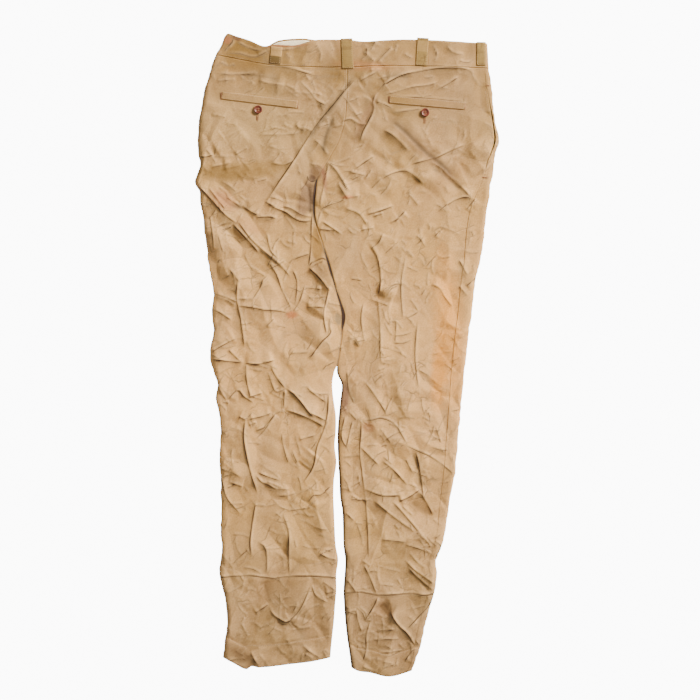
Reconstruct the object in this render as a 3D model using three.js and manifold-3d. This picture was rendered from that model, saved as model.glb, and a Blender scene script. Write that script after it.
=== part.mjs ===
// Military chino trousers, laid flat with the back upwards.
// Millimetres, +Z up. X runs across the waist, Y from the hems up to the waistband, and the
// fronts lie on the plane z = 0 under the backs. Left and right are the wearer's.
import * as THREE from "three";
import Module from "manifold-3d";

const wasm = await Module();
wasm.setup();

// Cloth. A wall is one layer of twill with the air that its weave holds.
const CLOTH = 1.2;
const HEM_CLOTH = 2.1;
const BAND_CLOTH = 1.8;
const BAND_PROUD = 0.8;
const SEAM_GAP = 0.3;
const BAND_GAP = 1;

// How the two layers lie on each other.
const LAY = 6.6;
const LOWEST_LAY = 4.7;
const SEAM_LEVEL = 2.7;
const EDGE_ROUND = 9;
const UNDER_ROUND = 4;
const LEG_EDGE_START = 306;
const LEG_EDGE_FULL = 278;

// Lengths along the garment.
const WAIST_SEAM = 490;
const WAIST_EASE_END = 425;
const HEM_HEIGHT = 38;
const HEM_EASE_START = -468;
const ROW_STEP = 25;

// Sewn-on pieces.
const LOOP_THICK = 1.5;
const WELT_THICK = 1.2;
const BUTTON_RADIUS = 7.2;
const BUTTON_THICK = 3;
const BUTTON_HOLE_RADIUS = 0.9;
const BUTTON_HOLE_PITCH = 3.2;
const POCKET_MOUTH_TOP = 455;
const POCKET_MOUTH_END = 303;
const POCKET_MOUTH_WIDTH = 3;
const FACING_WIDTH = 24;

// The light part of a fold faces up and to the right, its shaded part down and to the left.
const LIT_SIDE = new THREE.Vector2(0.8, 0.6);
const FOLD_END = 0.18;

function table(columns, rows) {
  return rows.map((row) => Object.fromEntries(columns.map((name, i) => [name, row[i]])));
}

// Cross sections from the waist down: each side's outer edge and its centre seam or inner leg edge.
// The right outer seam lies up on the back, where the front is folded round the edge.
const SECTIONS = table(["y", "leftOuter", "leftInner", "rightInner", "rightSeam", "rightOuter"], [
  [541, -209, 0, 0, 232, 238],
  [525, -215, 0, 0, 232, 239],
  [508, -225, 0, 0, 234, 240],
  [490, -231, 0, 0, 236, 241],
  [465, -239, 0, 0, 236, 245],
  [440, -245, -1, -1, 240, 248],
  [415, -249, -2, -2, 244, 250],
  [390, -253, -6, -6, 248, 254],
  [365, -254, -14, -14, 250, 259],
  [343, -253, -26, -26, 244, 253],
  [326, -250, -36, -36, 237, 250],
  [308, -255, -47, -47, 234, 249],
  [293, -259, -53.5, -52.5, 229, 245],
  [278, -251, -56, -54.5, 222, 243],
  [255, -249, -58, -56.5, 212, 240],
  [230, -244, -56.5, -55, 206, 236],
  [208, -242, -49.5, -49, 203, 234],
  [185, -239, -41, -41, 201, 231],
  [160, -237, -33, -33, 199, 227],
  [135, -232, -26, -26, 195, 220],
  [108, -227, -18, -18, 192, 216],
  [84, -229, -10, -10, 190, 214],
  [66, -230, -6, -6, 188, 212],
  [40, -227, -9, -9, 184, 207],
  [12, -233, -13, -13, 181, 205],
  [-12, -232, -16, -16, 179, 202],
  [-30, -226, -22, -17, 177, 199],
  [-50, -221, -25, -9, 176, 198],
  [-75, -223, -23, -11, 174, 195],
  [-103, -217, -19, -14, 172, 193],
  [-130, -215, -19, -16, 170, 190],
  [-155, -216, -21, -16, 168, 188],
  [-182, -217, -18, -15, 166, 186],
  [-212, -215, -22, -13, 163, 182],
  [-240, -215, -23, -12, 160, 176],
  [-265, -214, -22, -8, 157, 172],
  [-290, -215, -21, -7, 155, 169],
  [-325, -213, -19, -6, 148, 161],
  [-348, -215, -15, -3, 140, 152],
  [-372, -217, -18, -4, 141, 153],
  [-400, -211, -18, -6, 138, 150],
  [-425, -206, -20, -5, 132, 143],
  [-452, -204, -22, -3, 124, 135],
  [-480, -207, -25, 0, 118, 128],
  [-500, -209, -27, 3, 115, 123],
  [-514, -211, -28, 5, 112, 119],
  [-538, -211, -28, 8, 103, 110],
]);

// Edges that run across the garment: the waistband's seam, its two top edges, and the hems.
const WAIST_SEAM_LINE = table(["x", "y"], [
  [-226, 511], [-200, 506], [-170, 500], [-133, 493], [-95, 490], [0, 489],
  [60, 491], [120, 491], [180, 489], [242, 487],
]);
const BACK_BAND_EDGE = table(["x", "y"], [
  [-209, 541], [-203, 547], [-190, 543], [-165, 535], [-142, 525], [-125, 527],
  [-90, 526], [-72, 530], [-55, 535], [0, 536], [30, 533], [80, 536], [125, 536],
  [180, 533], [238, 530],
]);
const FRONT_BAND_EDGE = table(["x", "y"], [
  [-209, 541], [-190, 536], [-165, 529], [-142, 521], [-130, 529], [-115, 536],
  [-75, 539], [-50, 536], [0, 534], [120, 533], [238, 529],
]);
const LEFT_HEM = table(["x", "y"], [
  [-211, -514], [-190, -525], [-171, -534], [-162, -529], [-150, -531], [-100, -526],
  [-62, -521], [-28, -514],
]);
const RIGHT_HEM = table(["x", "y"], [
  [7, -531], [20, -537], [40, -540], [65, -546], [80, -546], [95, -542], [112, -536],
]);

// The largest folds: the height of the crest, or depth if negative, and how far it reaches on the
// lit side and on the shaded side of its line.
const FOLDS = table(["rise", "lit", "shade", "path"], [
  // Waistband and seat.
  [4.5, 16, 14, [[-206, 535], [-172, 520], [-142, 514]]],
  [-2, 14, 14, [[-150, 508], [-130, 518], [-92, 522], [-70, 528]]],
  [3, 24, 12, [[-134, 494], [-100, 487], [-57, 476]]],
  [4.5, 36, 14, [[16, 471], [-18, 430], [-58, 380], [-92, 325], [-138, 262]]],
  [3.2, 16, 14, [[-28, 388], [2, 402], [30, 389]]],
  [-2, 16, 12, [[52, 445], [44, 412], [22, 360]]],
  [2.4, 16, 12, [[50, 442], [72, 469], [115, 482], [185, 489]]],
  [2.2, 12, 12, [[42, 516], [51, 534]]],
  [2.4, 14, 12, [[53, 500], [75, 520], [100, 525]]],
  [-2, 30, 16, [[52, 396], [86, 370], [112, 335]]],
  [3, 18, 12, [[110, 325], [152, 336], [202, 358]]],
  [-2, 26, 14, [[137, 330], [168, 298], [212, 264]]],
  [4, 16, 26, [[205, 372], [222, 345], [236, 322]]],
  // Crotch.
  [4, 12, 14, [[-66, 300], [-60, 323], [-44, 312], [-42, 262], [-48, 222]]],
  [-2, 12, 12, [[-58, 300], [-57, 270]]],
  [2.6, 14, 12, [[-34, 328], [-10, 300], [4, 270]]],
  [2.4, 14, 12, [[35, 240], [60, 250], [80, 257]]],
  [2.6, 14, 12, [[40, 183], [60, 203], [97, 243]]],
  // Left thigh and knee.
  [5, 30, 12, [[-256, 290], [-212, 245], [-186, 222], [-150, 172], [-118, 148]]],
  [2.6, 14, 12, [[-202, 267], [-160, 242], [-124, 232]]],
  [3, 14, 12, [[-110, 252], [-85, 241], [-62, 232]]],
  [3.6, 24, 12, [[-187, 125], [-187, 84], [-173, 14]]],
  [2.6, 14, 12, [[-187, 84], [-145, 77], [-92, 68]]],
  [3, 14, 12, [[-95, 140], [-90, 95]]],
  [4.4, 12, 26, [[-64, 148], [-34, 116], [-38, 78], [-36, 38]]],
  [-2, 12, 12, [[-55, 212], [-50, 165]]],
  [-2, 12, 12, [[-232, 0], [-190, 28]]],
  [3, 16, 12, [[-226, -7], [-178, -13], [-125, -11]]],
  [5.5, 26, 12, [[-126, -26], [-96, -62], [-58, -106]]],
  [4, 12, 18, [[-107, -92], [-70, -106], [-40, -122]]],
  [-2, 18, 12, [[-172, -112], [-176, -138], [-162, -198], [-150, -236]]],
  [3, 18, 12, [[-33, -60], [-35, -115], [-58, -198]]],
  [3, 14, 12, [[-154, -205], [-128, -220], [-100, -227]]],
  // Left shin and hem.
  [-2, 14, 14, [[-213, -376], [-110, -377], [-19, -378]]],
  [-2, 14, 14, [[-140, -382], [-133, -420]]],
  [3.6, 16, 14, [[-133, -433], [-106, -453], [-72, -425]]],
  [3, 12, 12, [[-60, -392], [-48, -412], [-20, -406]]],
  [-1.8, 12, 12, [[-165, -532], [-162, -505], [-150, -528]]],
  // Right thigh and knee.
  [3, 12, 16, [[45, 185], [57, 130], [53, 95]]],
  [2.4, 14, 12, [[53, 95], [57, 20], [59, -15]]],
  [3, 14, 12, [[3, 30], [18, 18]]],
  [-2, 14, 12, [[0, -45], [14, -84]]],
  [4, 26, 12, [[26, -112], [62, -109], [95, -140], [148, -177], [180, -202]]],
  [3, 12, 12, [[27, -112], [22, -160], [33, -235]]],
  [3.4, 12, 22, [[120, -163], [127, -218], [148, -272]]],
  [3.4, 14, 12, [[92, -245], [126, -230]]],
  [4.4, 16, 12, [[78, -248], [112, -284], [142, -325]]],
  // Right shin and hem.
  [3.6, 12, 12, [[102, -352], [150, -396]]],
  [-2, 14, 14, [[2, -404], [75, -406], [148, -406]]],
  [3, 12, 14, [[53, -410], [36, -447]]],
  [4.6, 20, 12, [[78, -430], [88, -461], [116, -492]]],
  [3, 12, 12, [[0, -437], [16, -436], [25, -468]]],
]);

// Sewn-on strips: the middle of each end, top or left first, and the width.
const STRIPS = {
  loop_center_back: { from: [-1, 538], to: [1, 486], width: 20 },
  loop_back_left: { from: [-119.5, 523.5], to: [-123, 494], width: 20 },
  loop_back_right: { from: [129, 539], to: [126, 491], width: 20 },
  loop_side_right: { from: [228, 532], to: [227.5, 491.5], width: 16 },
  welt_left: { from: [-213, 441], to: [-84, 425], width: 13 },
  welt_right: { from: [72, 434], to: [200, 423], width: 13 },
};
const BUTTONS = { button_left: [-151, 417], button_right: [133, 412] };
const CALM_REACH = 26;
const CALM_SHARE = 0.2;

const LOOP_LOOK = { color: 0xa8905a, roughness: 0.9, metalness: 0 };
const TWILL_LOOK = { color: 0xc9a983, roughness: 0.92, metalness: 0 };
const LINING_LOOK = { color: 0xe6dccb, roughness: 0.9, metalness: 0 };
const BUTTON_LOOK = { color: 0x8a4227, roughness: 0.4, metalness: 0 };

const mix = THREE.MathUtils.lerp;
const clamp = THREE.MathUtils.clamp;
const ease = (t) => THREE.MathUtils.smoothstep(t, 0, 1);

// The smooth value of one column of a table at a place along its key column.
function valueAt(rows, key, column, at) {
  const down = rows[0][key] > rows[rows.length - 1][key];
  const place = (i) => (down ? -rows[i][key] : rows[i][key]);
  const wanted = clamp(down ? -at : at, place(0), place(rows.length - 1));
  let i = 0;
  while (i < rows.length - 2 && place(i + 1) < wanted) i++;
  const slope = (k) => {
    const a = Math.max(k - 1, 0);
    const b = Math.min(k + 1, rows.length - 1);
    return (rows[b][column] - rows[a][column]) / (place(b) - place(a));
  };
  const span = place(i + 1) - place(i);
  const t = (wanted - place(i)) / span;
  const t2 = t * t;
  const t3 = t2 * t;
  return (
    rows[i][column] * (2 * t3 - 3 * t2 + 1) +
    rows[i + 1][column] * (3 * t2 - 2 * t3) +
    slope(i) * span * (t3 - 2 * t2 + t) +
    slope(i + 1) * span * (t3 - t2)
  );
}

const HEMS = { left: { line: LEFT_HEM, level: -514 }, right: { line: RIGHT_HEM, level: -538 } };

function edgesAt(side, y) {
  const edge = (name) => valueAt(SECTIONS, "y", name, y);
  const outer = edge(`${side}Outer`);
  const half = (side === "left" ? -SEAM_GAP : SEAM_GAP) / 2;
  return {
    outer,
    inner: edge(`${side}Inner`) + half,
    seam: side === "left" ? outer : edge("rightSeam"),
    legEdge: ease((LEG_EDGE_START - y) / (LEG_EDGE_START - LEG_EDGE_FULL)),
  };
}

// Distance from a line of points, the share of the line passed, and whether it is on the lit side.
function fromPath(path, x, y) {
  const lengths = path.slice(1).map((p, i) => Math.hypot(p[0] - path[i][0], p[1] - path[i][1]));
  const total = lengths.reduce((sum, length) => sum + length, 0);
  const best = { distance: Infinity, share: 0, lit: true };
  let passed = 0;
  for (let i = 0; i < lengths.length; i++) {
    const [ax, ay] = path[i];
    const dx = path[i + 1][0] - ax;
    const dy = path[i + 1][1] - ay;
    const t = clamp(((x - ax) * dx + (y - ay) * dy) / lengths[i] ** 2, 0, 1);
    const offX = x - ax - t * dx;
    const offY = y - ay - t * dy;
    const distance = Math.hypot(offX, offY);
    if (distance < best.distance) {
      const turned = Math.sign(-dy * LIT_SIDE.x + dx * LIT_SIDE.y);
      best.distance = distance;
      best.share = (passed + t * lengths[i]) / total;
      best.lit = (-dy * offX + dx * offY) * turned >= 0;
    }
    passed += lengths[i];
  }
  return best;
}

// Sewn strips and buttons hold the cloth flat under them.
function calmAt(x, y) {
  const strips = Object.values(STRIPS).map(({ from, to, width }) =>
    Math.max(0, fromPath([from, to], x, y).distance - width / 2));
  const buttons = Object.values(BUTTONS).map(([bx, by]) =>
    Math.max(0, Math.hypot(x - bx, y - by) - BUTTON_RADIUS));
  const nearest = Math.min(...strips, ...buttons);
  return mix(CALM_SHARE, 1, ease(nearest / CALM_REACH));
}

function layHeight(x, y) {
  let height = 0;
  for (const { rise, lit, shade, path } of FOLDS) {
    const near = fromPath(path, x, y);
    const reach = near.lit ? lit : shade;
    if (near.distance < reach) {
      const across = (1 - near.distance / reach) ** 2 * (1 + near.distance / reach);
      const lengthwise = ease(Math.min(near.share, 1 - near.share) / FOLD_END);
      height += rise * across * mix(0.35, 1, lengthwise);
    }
  }
  return Math.max(LAY + height * calmAt(x, y), LOWEST_LAY);
}

const roundOff = (distance, radius) =>
  distance >= radius ? 1 : Math.sqrt(Math.max(0, 1 - (1 - distance / radius) ** 2));

// A point of the upper layer, depth under its outer face. At an edge the cloth rounds down to the
// side seam, and a point under the face lies that much further in.
function upperPoint(side, x, y, depth) {
  const { outer, inner, legEdge } = edgesAt(side, y);
  const toOuter = Math.abs(outer - x);
  const toInner = Math.abs(x - inner);
  const way = side === "left" ? 1 : -1;
  const share = roundOff(toOuter, EDGE_ROUND) * mix(1, roundOff(toInner, EDGE_ROUND), legEdge);
  const inward = way * Math.max(0, 1 - toOuter / EDGE_ROUND) -
    way * legEdge * Math.max(0, 1 - toInner / EDGE_ROUND);
  const seamTop = SEAM_LEVEL + SEAM_GAP / 2;
  const z = seamTop + (layHeight(x, y) - depth - seamTop) * share;
  return new THREE.Vector3(x + inward * depth, y, z);
}

// A point of the under layer, depth above its flat outer face.
function underPoint(side, x, y, depth) {
  const { outer, inner, legEdge } = edgesAt(side, y);
  const toOuter = Math.abs(outer - x);
  const toInner = Math.abs(x - inner);
  const way = side === "left" ? 1 : -1;
  const share = roundOff(toOuter, UNDER_ROUND) * mix(1, roundOff(toInner, UNDER_ROUND), legEdge);
  const inward = way * Math.max(0, 1 - toOuter / UNDER_ROUND) -
    way * legEdge * Math.max(0, 1 - toInner / UNDER_ROUND);
  const seamUnder = SEAM_LEVEL - SEAM_GAP / 2;
  return new THREE.Vector3(x + inward * depth, y, mix(seamUnder, depth, share));
}

// Columns between two edges: given steps in from each edge, evenly spaced in the middle.
function columnsBetween(from, to, startSteps, middle, endSteps) {
  const way = Math.sign(to - from);
  const first = from + way * startSteps[startSteps.length - 1];
  const last = to - way * endSteps[endSteps.length - 1];
  const between = Array.from({ length: middle }, (_, i) => mix(first, last, (i + 1) / (middle + 1)));
  return [
    ...startSteps.map((step) => from + way * step),
    ...between,
    ...endSteps.map((step) => to - way * step).reverse(),
  ];
}

// A closed wall. pointAt(row, column, layer) gives its outer face for layer 0, its inner for 1.
function wall(rowCount, columnCount, pointAt) {
  const points = [];
  for (let layer = 0; layer < 2; layer++)
    for (let row = 0; row < rowCount; row++)
      for (let column = 0; column < columnCount; column++)
        points.push(pointAt(row, column, layer));
  const index = (row, column, layer) => (layer * rowCount + row) * columnCount + column;
  const faces = [];
  const quad = (a, b, c, d) => faces.push([a, b, c], [a, c, d]);
  for (let row = 0; row < rowCount - 1; row++)
    for (let column = 0; column < columnCount - 1; column++) {
      const corners = [[row, column], [row + 1, column], [row + 1, column + 1], [row, column + 1]];
      const [a, b, c, d] = corners.map(([r, k]) => index(r, k, 0));
      const level = Math.abs(points[a].z - points[c].z) <= Math.abs(points[b].z - points[d].z);
      const outside = level ? [a, b, c, d] : [b, c, d, a];
      quad(...outside);
      quad(...outside.map((i) => i + rowCount * columnCount).reverse());
    }
  const rim = [];
  for (let column = 0; column < columnCount - 1; column++) rim.push([0, column]);
  for (let row = 0; row < rowCount - 1; row++) rim.push([row, columnCount - 1]);
  for (let column = columnCount - 1; column > 0; column--) rim.push([rowCount - 1, column]);
  for (let row = rowCount - 1; row > 0; row--) rim.push([row, 0]);
  rim.forEach(([row, column], i) => {
    const [nextRow, nextColumn] = rim[(i + 1) % rim.length];
    quad(index(row, column, 0), index(nextRow, nextColumn, 0),
      index(nextRow, nextColumn, 1), index(row, column, 1));
  });
  return solidOf(points, faces);
}

// The solid of a list of points and triangles, turned so that its faces point outwards.
function solidOf(points, faces) {
  const volume = faces.reduce((sum, [a, b, c]) =>
    sum + points[a].dot(points[b].clone().cross(points[c])), 0);
  const turned = volume < 0 ? faces.map(([a, b, c]) => [a, c, b]) : faces;
  return new wasm.Manifold(new wasm.Mesh({
    numProp: 3,
    vertProperties: Float32Array.from(points.flatMap((p) => p.toArray())),
    triVerts: Uint32Array.from(turned.flat()),
  }));
}

function geometryOf(solid) {
  const { vertProperties, triVerts } = solid.getMesh();
  return new THREE.BufferGeometry()
    .setAttribute("position", new THREE.BufferAttribute(vertProperties, 3))
    .setIndex(new THREE.BufferAttribute(triVerts, 1));
}

// Rows follow the section tables, with more between rows that lie far apart.
function levelsOf(top, bottom) {
  const ys = SECTIONS.map((row) => row.y).filter((y) => y < top - 4 && y > bottom + 4);
  const marks = [top, ...ys, bottom];
  return marks.slice(0, -1).flatMap((y, i) => {
    const count = Math.max(1, Math.round((y - marks[i + 1]) / ROW_STEP));
    return Array.from({ length: count }, (_, k) => mix(y, marks[i + 1], k / count));
  }).concat(bottom);
}

// A row's height at one column: rows bend to meet the waistband's seam and the hem's edge.
function bentHeight(side, x, level) {
  const { line, level: hemLevel } = HEMS[side];
  if (level > WAIST_EASE_END) {
    const share = (level - WAIST_EASE_END) / (WAIST_SEAM - WAIST_EASE_END);
    return level + share * (valueAt(WAIST_SEAM_LINE, "x", "y", x) - WAIST_SEAM);
  }
  if (level < HEM_EASE_START) {
    const share = (HEM_EASE_START - level) / (HEM_EASE_START - hemLevel);
    return level + share * (valueAt(line, "x", "y", x) - hemLevel);
  }
  return level;
}

function clothDepth(side, y) {
  return y < HEMS[side].level + HEM_HEIGHT ? HEM_CLOTH : CLOTH;
}

// A panel through the levels of one side. across(y) gives its columns' places, and kind(column)
// says which of them lie in the upper layer.
function panelPoints(side, across, kind) {
  const levels = levelsOf(WAIST_SEAM, HEMS[side].level);
  const columnCount = across(0).length;
  const pointAt = (row, column, depthOf) => {
    let y = levels[row];
    for (let pass = 0; pass < 3; pass++)
      y = bentHeight(side, across(y)[column], levels[row]);
    const x = across(y)[column];
    const depth = depthOf(levels[row]);
    return kind(column) ? upperPoint(side, x, y, depth) : underPoint(side, x, y, depth);
  };
  return { rowCount: levels.length, columnCount, pointAt };
}

function panelWall(side, { rowCount, columnCount, pointAt }) {
  return wall(rowCount, columnCount, (row, column, layer) =>
    pointAt(row, column, layer ? (level) => clothDepth(side, level) : () => 0));
}

// Steps in from an edge, close together where the cloth turns, and the columns between them.
const EDGE_STEPS = [0, 0.9, 2.8, 5.6, EDGE_ROUND];
const UNDER_STEPS = [0, 1.2, UNDER_ROUND];
const SEAM_STEPS = [0];
const TURN_SHARES = [0, 0.12, 0.36, 0.7];
const BACK_COLUMNS = { left: 13, right: 16 };
const UNDER_COLUMNS = 5;
const TURN_COLUMNS = 2;

function backPanel(side) {
  const endSteps = side === "left" ? EDGE_STEPS : SEAM_STEPS;
  const across = (y) => {
    const { inner, outer, seam } = edgesAt(side, y);
    const end = side === "left" ? outer : seam - SEAM_GAP / 2;
    return columnsBetween(inner, end, EDGE_STEPS, BACK_COLUMNS[side], endSteps);
  };
  return panelPoints(side, across, () => true);
}

// The pocket's mouth gapes between the back and the rolled edge of the front.
function mouthAt(y) {
  const share = (POCKET_MOUTH_TOP - y) / (POCKET_MOUTH_TOP - POCKET_MOUTH_END);
  return share > 0 && share < 1 ? POCKET_MOUTH_WIDTH * Math.sin(Math.PI * share) : 0;
}

function frontPanel(side) {
  const across = (y) => {
    const { inner, outer, seam } = edgesAt(side, y);
    const under = columnsBetween(inner, outer, UNDER_STEPS, UNDER_COLUMNS, UNDER_STEPS);
    if (side === "left") return under;
    const turnIn = Math.min(outer - seam - mouthAt(y), EDGE_ROUND);
    const over = columnsBetween(outer, seam + mouthAt(y) + SEAM_GAP / 2,
      TURN_SHARES.map((share) => turnIn * share), TURN_COLUMNS, SEAM_STEPS);
    return [...under, ...over];
  };
  const underCount = 2 * UNDER_STEPS.length + UNDER_COLUMNS;
  return panelPoints(side, across, (column) => column >= underCount);
}

// One half of the waistband: over the back from the centre, round the side and under the front.
const BAND_ROWS = 5;
const BAND_COLUMNS = { over: 16, under: 9 };
function bandPoints(side) {
  const way = side === "left" ? -1 : 1;
  const half = (way * SEAM_GAP) / 2;
  const overCount = SEAM_STEPS.length + BAND_COLUMNS.over + EDGE_STEPS.length;
  const across = (y) => {
    const { outer } = edgesAt(side, y);
    return [
      ...columnsBetween(half, outer, SEAM_STEPS, BAND_COLUMNS.over, EDGE_STEPS),
      ...columnsBetween(outer, half, UNDER_STEPS, BAND_COLUMNS.under, SEAM_STEPS),
    ];
  };
  const middle = (WAIST_SEAM + valueAt(BACK_BAND_EDGE, "x", "y", 0)) / 2;
  const heightAt = (x, row, edge) => {
    const low = valueAt(WAIST_SEAM_LINE, "x", "y", x) + BAND_GAP;
    return mix(low, valueAt(edge, "x", "y", x), row / (BAND_ROWS - 1));
  };
  const pointAt = (row, column, depth) => {
    const over = column < overCount;
    const edge = over ? BACK_BAND_EDGE : FRONT_BAND_EDGE;
    let y = middle;
    for (let pass = 0; pass < 4; pass++) y = heightAt(across(y)[column], row, edge);
    const x = across(y)[column];
    return over
      ? upperPoint(side, x, y, depth - BAND_PROUD)
      : underPoint(side, x, y, depth);
  };
  return { rowCount: BAND_ROWS, columnCount: across(middle).length, overCount, pointAt };
}

// The space under a faceted upper face, to cut what lies on that face to its shape.
const BED_FLOOR = -50;
function bedUnder({ rowCount, columnCount, overCount, pointAt }, depthOf) {
  return wall(rowCount, overCount ?? columnCount, (row, column, layer) => {
    const point = pointAt(row, column, depthOf);
    point.z = layer ? BED_FLOOR : point.z + SEAM_GAP;
    return point;
  });
}

// A strip of cloth laid over a bed: a grid between the strip's ends, cut to what is under it.
const STRIP_STEP = 8;
const STRIP_COLUMNS = 4;
const STRIP_DROP = 4;
function laidStrip({ from, to, width }, proud, thick, beds) {
  const length = Math.hypot(to[0] - from[0], to[1] - from[1]);
  const along = [(to[0] - from[0]) / length, (to[1] - from[1]) / length];
  const steps = Math.round(length / STRIP_STEP);
  const rise = proud + SEAM_GAP + thick;
  const block = wall(steps + 1, STRIP_COLUMNS, (row, column, layer) => {
    const side = (column / (STRIP_COLUMNS - 1) - 0.5) * width;
    const down = (row / steps) * length;
    const x = from[0] + along[0] * down - along[1] * side;
    const y = from[1] + along[1] * down + along[0] * side;
    const point = upperPoint(x < 0 ? "left" : "right", x, y, -rise);
    if (layer) point.z = Math.max(point.z - rise - STRIP_DROP, SEAM_LEVEL);
    return point;
  });
  return largest(beds.reduce((solid, bed) => solid.subtract(bed), block));
}

function largest(solid) {
  return solid.decompose().reduce((best, part) => (part.volume() > best.volume() ? part : best));
}

// A four-hole button: a dished disc with a raised rim.
function buttonSolid() {
  const half = BUTTON_THICK / 2;
  const profile = [
    [0, -half], [BUTTON_RADIUS * 0.7, -half], [BUTTON_RADIUS, -half * 0.2],
    [BUTTON_RADIUS * 0.96, half * 0.7], [BUTTON_RADIUS * 0.84, half],
    [BUTTON_RADIUS * 0.66, half * 0.5], [BUTTON_RADIUS * 0.55, half * 0.25], [0, half * 0.2],
  ].map(([r, h]) => new THREE.Vector2(r, h));
  let disc = manifoldOf(new THREE.LatheGeometry(profile, 20).rotateX(Math.PI / 2));
  for (const [sx, sy] of [[-1, -1], [-1, 1], [1, -1], [1, 1]]) {
    const hole = new THREE.CylinderGeometry(
      BUTTON_HOLE_RADIUS, BUTTON_HOLE_RADIUS, 2 * BUTTON_THICK, 6).rotateX(Math.PI / 2);
    hole.translate((sx * BUTTON_HOLE_PITCH) / 2, (sy * BUTTON_HOLE_PITCH) / 2, 0);
    disc = disc.subtract(manifoldOf(hole));
  }
  return disc;
}

// A three.js geometry as a solid: points that coincide are merged by their rounded places.
function manifoldOf(geometry) {
  const loose = geometry.index ? geometry.toNonIndexed() : geometry;
  const position = loose.getAttribute("position");
  const places = new Map();
  const points = [];
  const order = [];
  for (let i = 0; i < position.count; i++) {
    const point = new THREE.Vector3().fromBufferAttribute(position, i);
    const key = point.toArray().map((v) => Math.round(v * 1e4)).join();
    if (!places.has(key)) {
      places.set(key, points.length);
      points.push(point);
    }
    order.push(places.get(key));
  }
  const faces = [];
  for (let i = 0; i < order.length; i += 3) {
    const [a, b, c] = order.slice(i, i + 3);
    if (a !== b && b !== c && a !== c) faces.push([a, b, c]);
  }
  return solidOf(points, faces);
}

const trousers = new THREE.Group();

function addPiece(name, solid, look) {
  const mesh = new THREE.Mesh(geometryOf(solid), new THREE.MeshStandardMaterial(look));
  mesh.name = name;
  trousers.add(mesh);
  return mesh;
}

const backs = { left: backPanel("left"), right: backPanel("right") };
const bands = { left: bandPoints("left"), right: bandPoints("right") };
for (const side of ["left", "right"]) {
  addPiece(`back_${side}`, panelWall(side, backs[side]), TWILL_LOOK);
  addPiece(`front_${side}`, panelWall(side, frontPanel(side)), TWILL_LOOK);
  const { rowCount, columnCount, pointAt } = bands[side];
  const band = wall(rowCount, columnCount, (row, column, layer) =>
    pointAt(row, column, layer * BAND_CLOTH));
  addPiece(`waistband_${side}`, band, TWILL_LOOK);
}

const backBeds = { left: bedUnder(backs.left, () => 0), right: bedUnder(backs.right, () => 0) };
const bandBeds = { left: bedUnder(bands.left, 0), right: bedUnder(bands.right, 0) };
const allBeds = [backBeds.left, backBeds.right, bandBeds.left, bandBeds.right];
for (const [name, strip] of Object.entries(STRIPS)) {
  const loop = name.startsWith("loop");
  const solid = laidStrip(strip, loop ? BAND_PROUD : 0, loop ? LOOP_THICK : WELT_THICK, allBeds);
  addPiece(name, solid, loop ? LOOP_LOOK : TWILL_LOOK);
}

for (const [name, [x, y]] of Object.entries(BUTTONS)) {
  const mesh = addPiece(name, buttonSolid(), BUTTON_LOOK);
  mesh.position.set(x, y, layHeight(x, y) + SEAM_GAP + BUTTON_THICK / 2 + 0.2);
}

// The pale lining of the front waistband, which shows above the sunken back edge.
const LINING = { from: -192, to: -20, low: 497, thick: 1, below: 1.2, columns: 16 };
addPiece("waistband_lining", wall(3, LINING.columns, (row, column, layer) => {
  const x = mix(LINING.from, LINING.to, column / (LINING.columns - 1));
  const top = valueAt(FRONT_BAND_EDGE, "x", "y", x) - LINING.below;
  const y = mix(Math.max(LINING.low, valueAt(WAIST_SEAM_LINE, "x", "y", x) + 2), top, row / 2);
  return underPoint("left", x, y, BAND_CLOTH + SEAM_GAP + layer * LINING.thick);
}), LINING_LOOK);

// The underlap of the fly closes the centre front from the inside.
const FLY = { top: 482, bottom: 325, leftWidth: 16, rightWidth: 24, thick: 1.2, rows: 9 };
addPiece("fly_underlap", wall(FLY.rows, 2, (row, column, layer) => {
  const y = mix(FLY.top, FLY.bottom, row / (FLY.rows - 1));
  const centre = valueAt(SECTIONS, "y", "leftInner", y);
  const x = centre + (column ? FLY.rightWidth : -FLY.leftWidth);
  return new THREE.Vector3(x, y, CLOTH + SEAM_GAP + layer * FLY.thick);
}), TWILL_LOOK);

// The facing behind the open mouth of the side pocket.
const FACING_ROWS = 9;
addPiece("pocket_facing_right", wall(FACING_ROWS, 2, (row, column, layer) => {
  const y = mix(POCKET_MOUTH_TOP - 4, POCKET_MOUTH_END + 6, row / (FACING_ROWS - 1));
  const { seam } = edgesAt("right", y);
  const x = column ? seam + mouthAt(y) / 2 : seam - FACING_WIDTH;
  return new THREE.Vector3(x, y, CLOTH + SEAM_GAP + layer * CLOTH);
}), TWILL_LOOK);

export default trousers;
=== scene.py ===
# %% [markdown]
# # Military chino trousers, laid flat
# A pair of khaki twill uniform trousers lies on its front, so the seat, the hip pockets and the
# backs of the legs face up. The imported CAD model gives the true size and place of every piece.
# This lesson dresses each of those pieces in creased cloth that follows the same outline.
#
# The work is done in millimetres, because tailoring sizes read best that way. One factor, `MM`,
# turns a finished mesh into Blender's metres.

# %% Load the CAD frame
import math
import random

import bmesh
import bpy
import numpy as np
from mathutils import Matrix, Vector, noise


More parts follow.
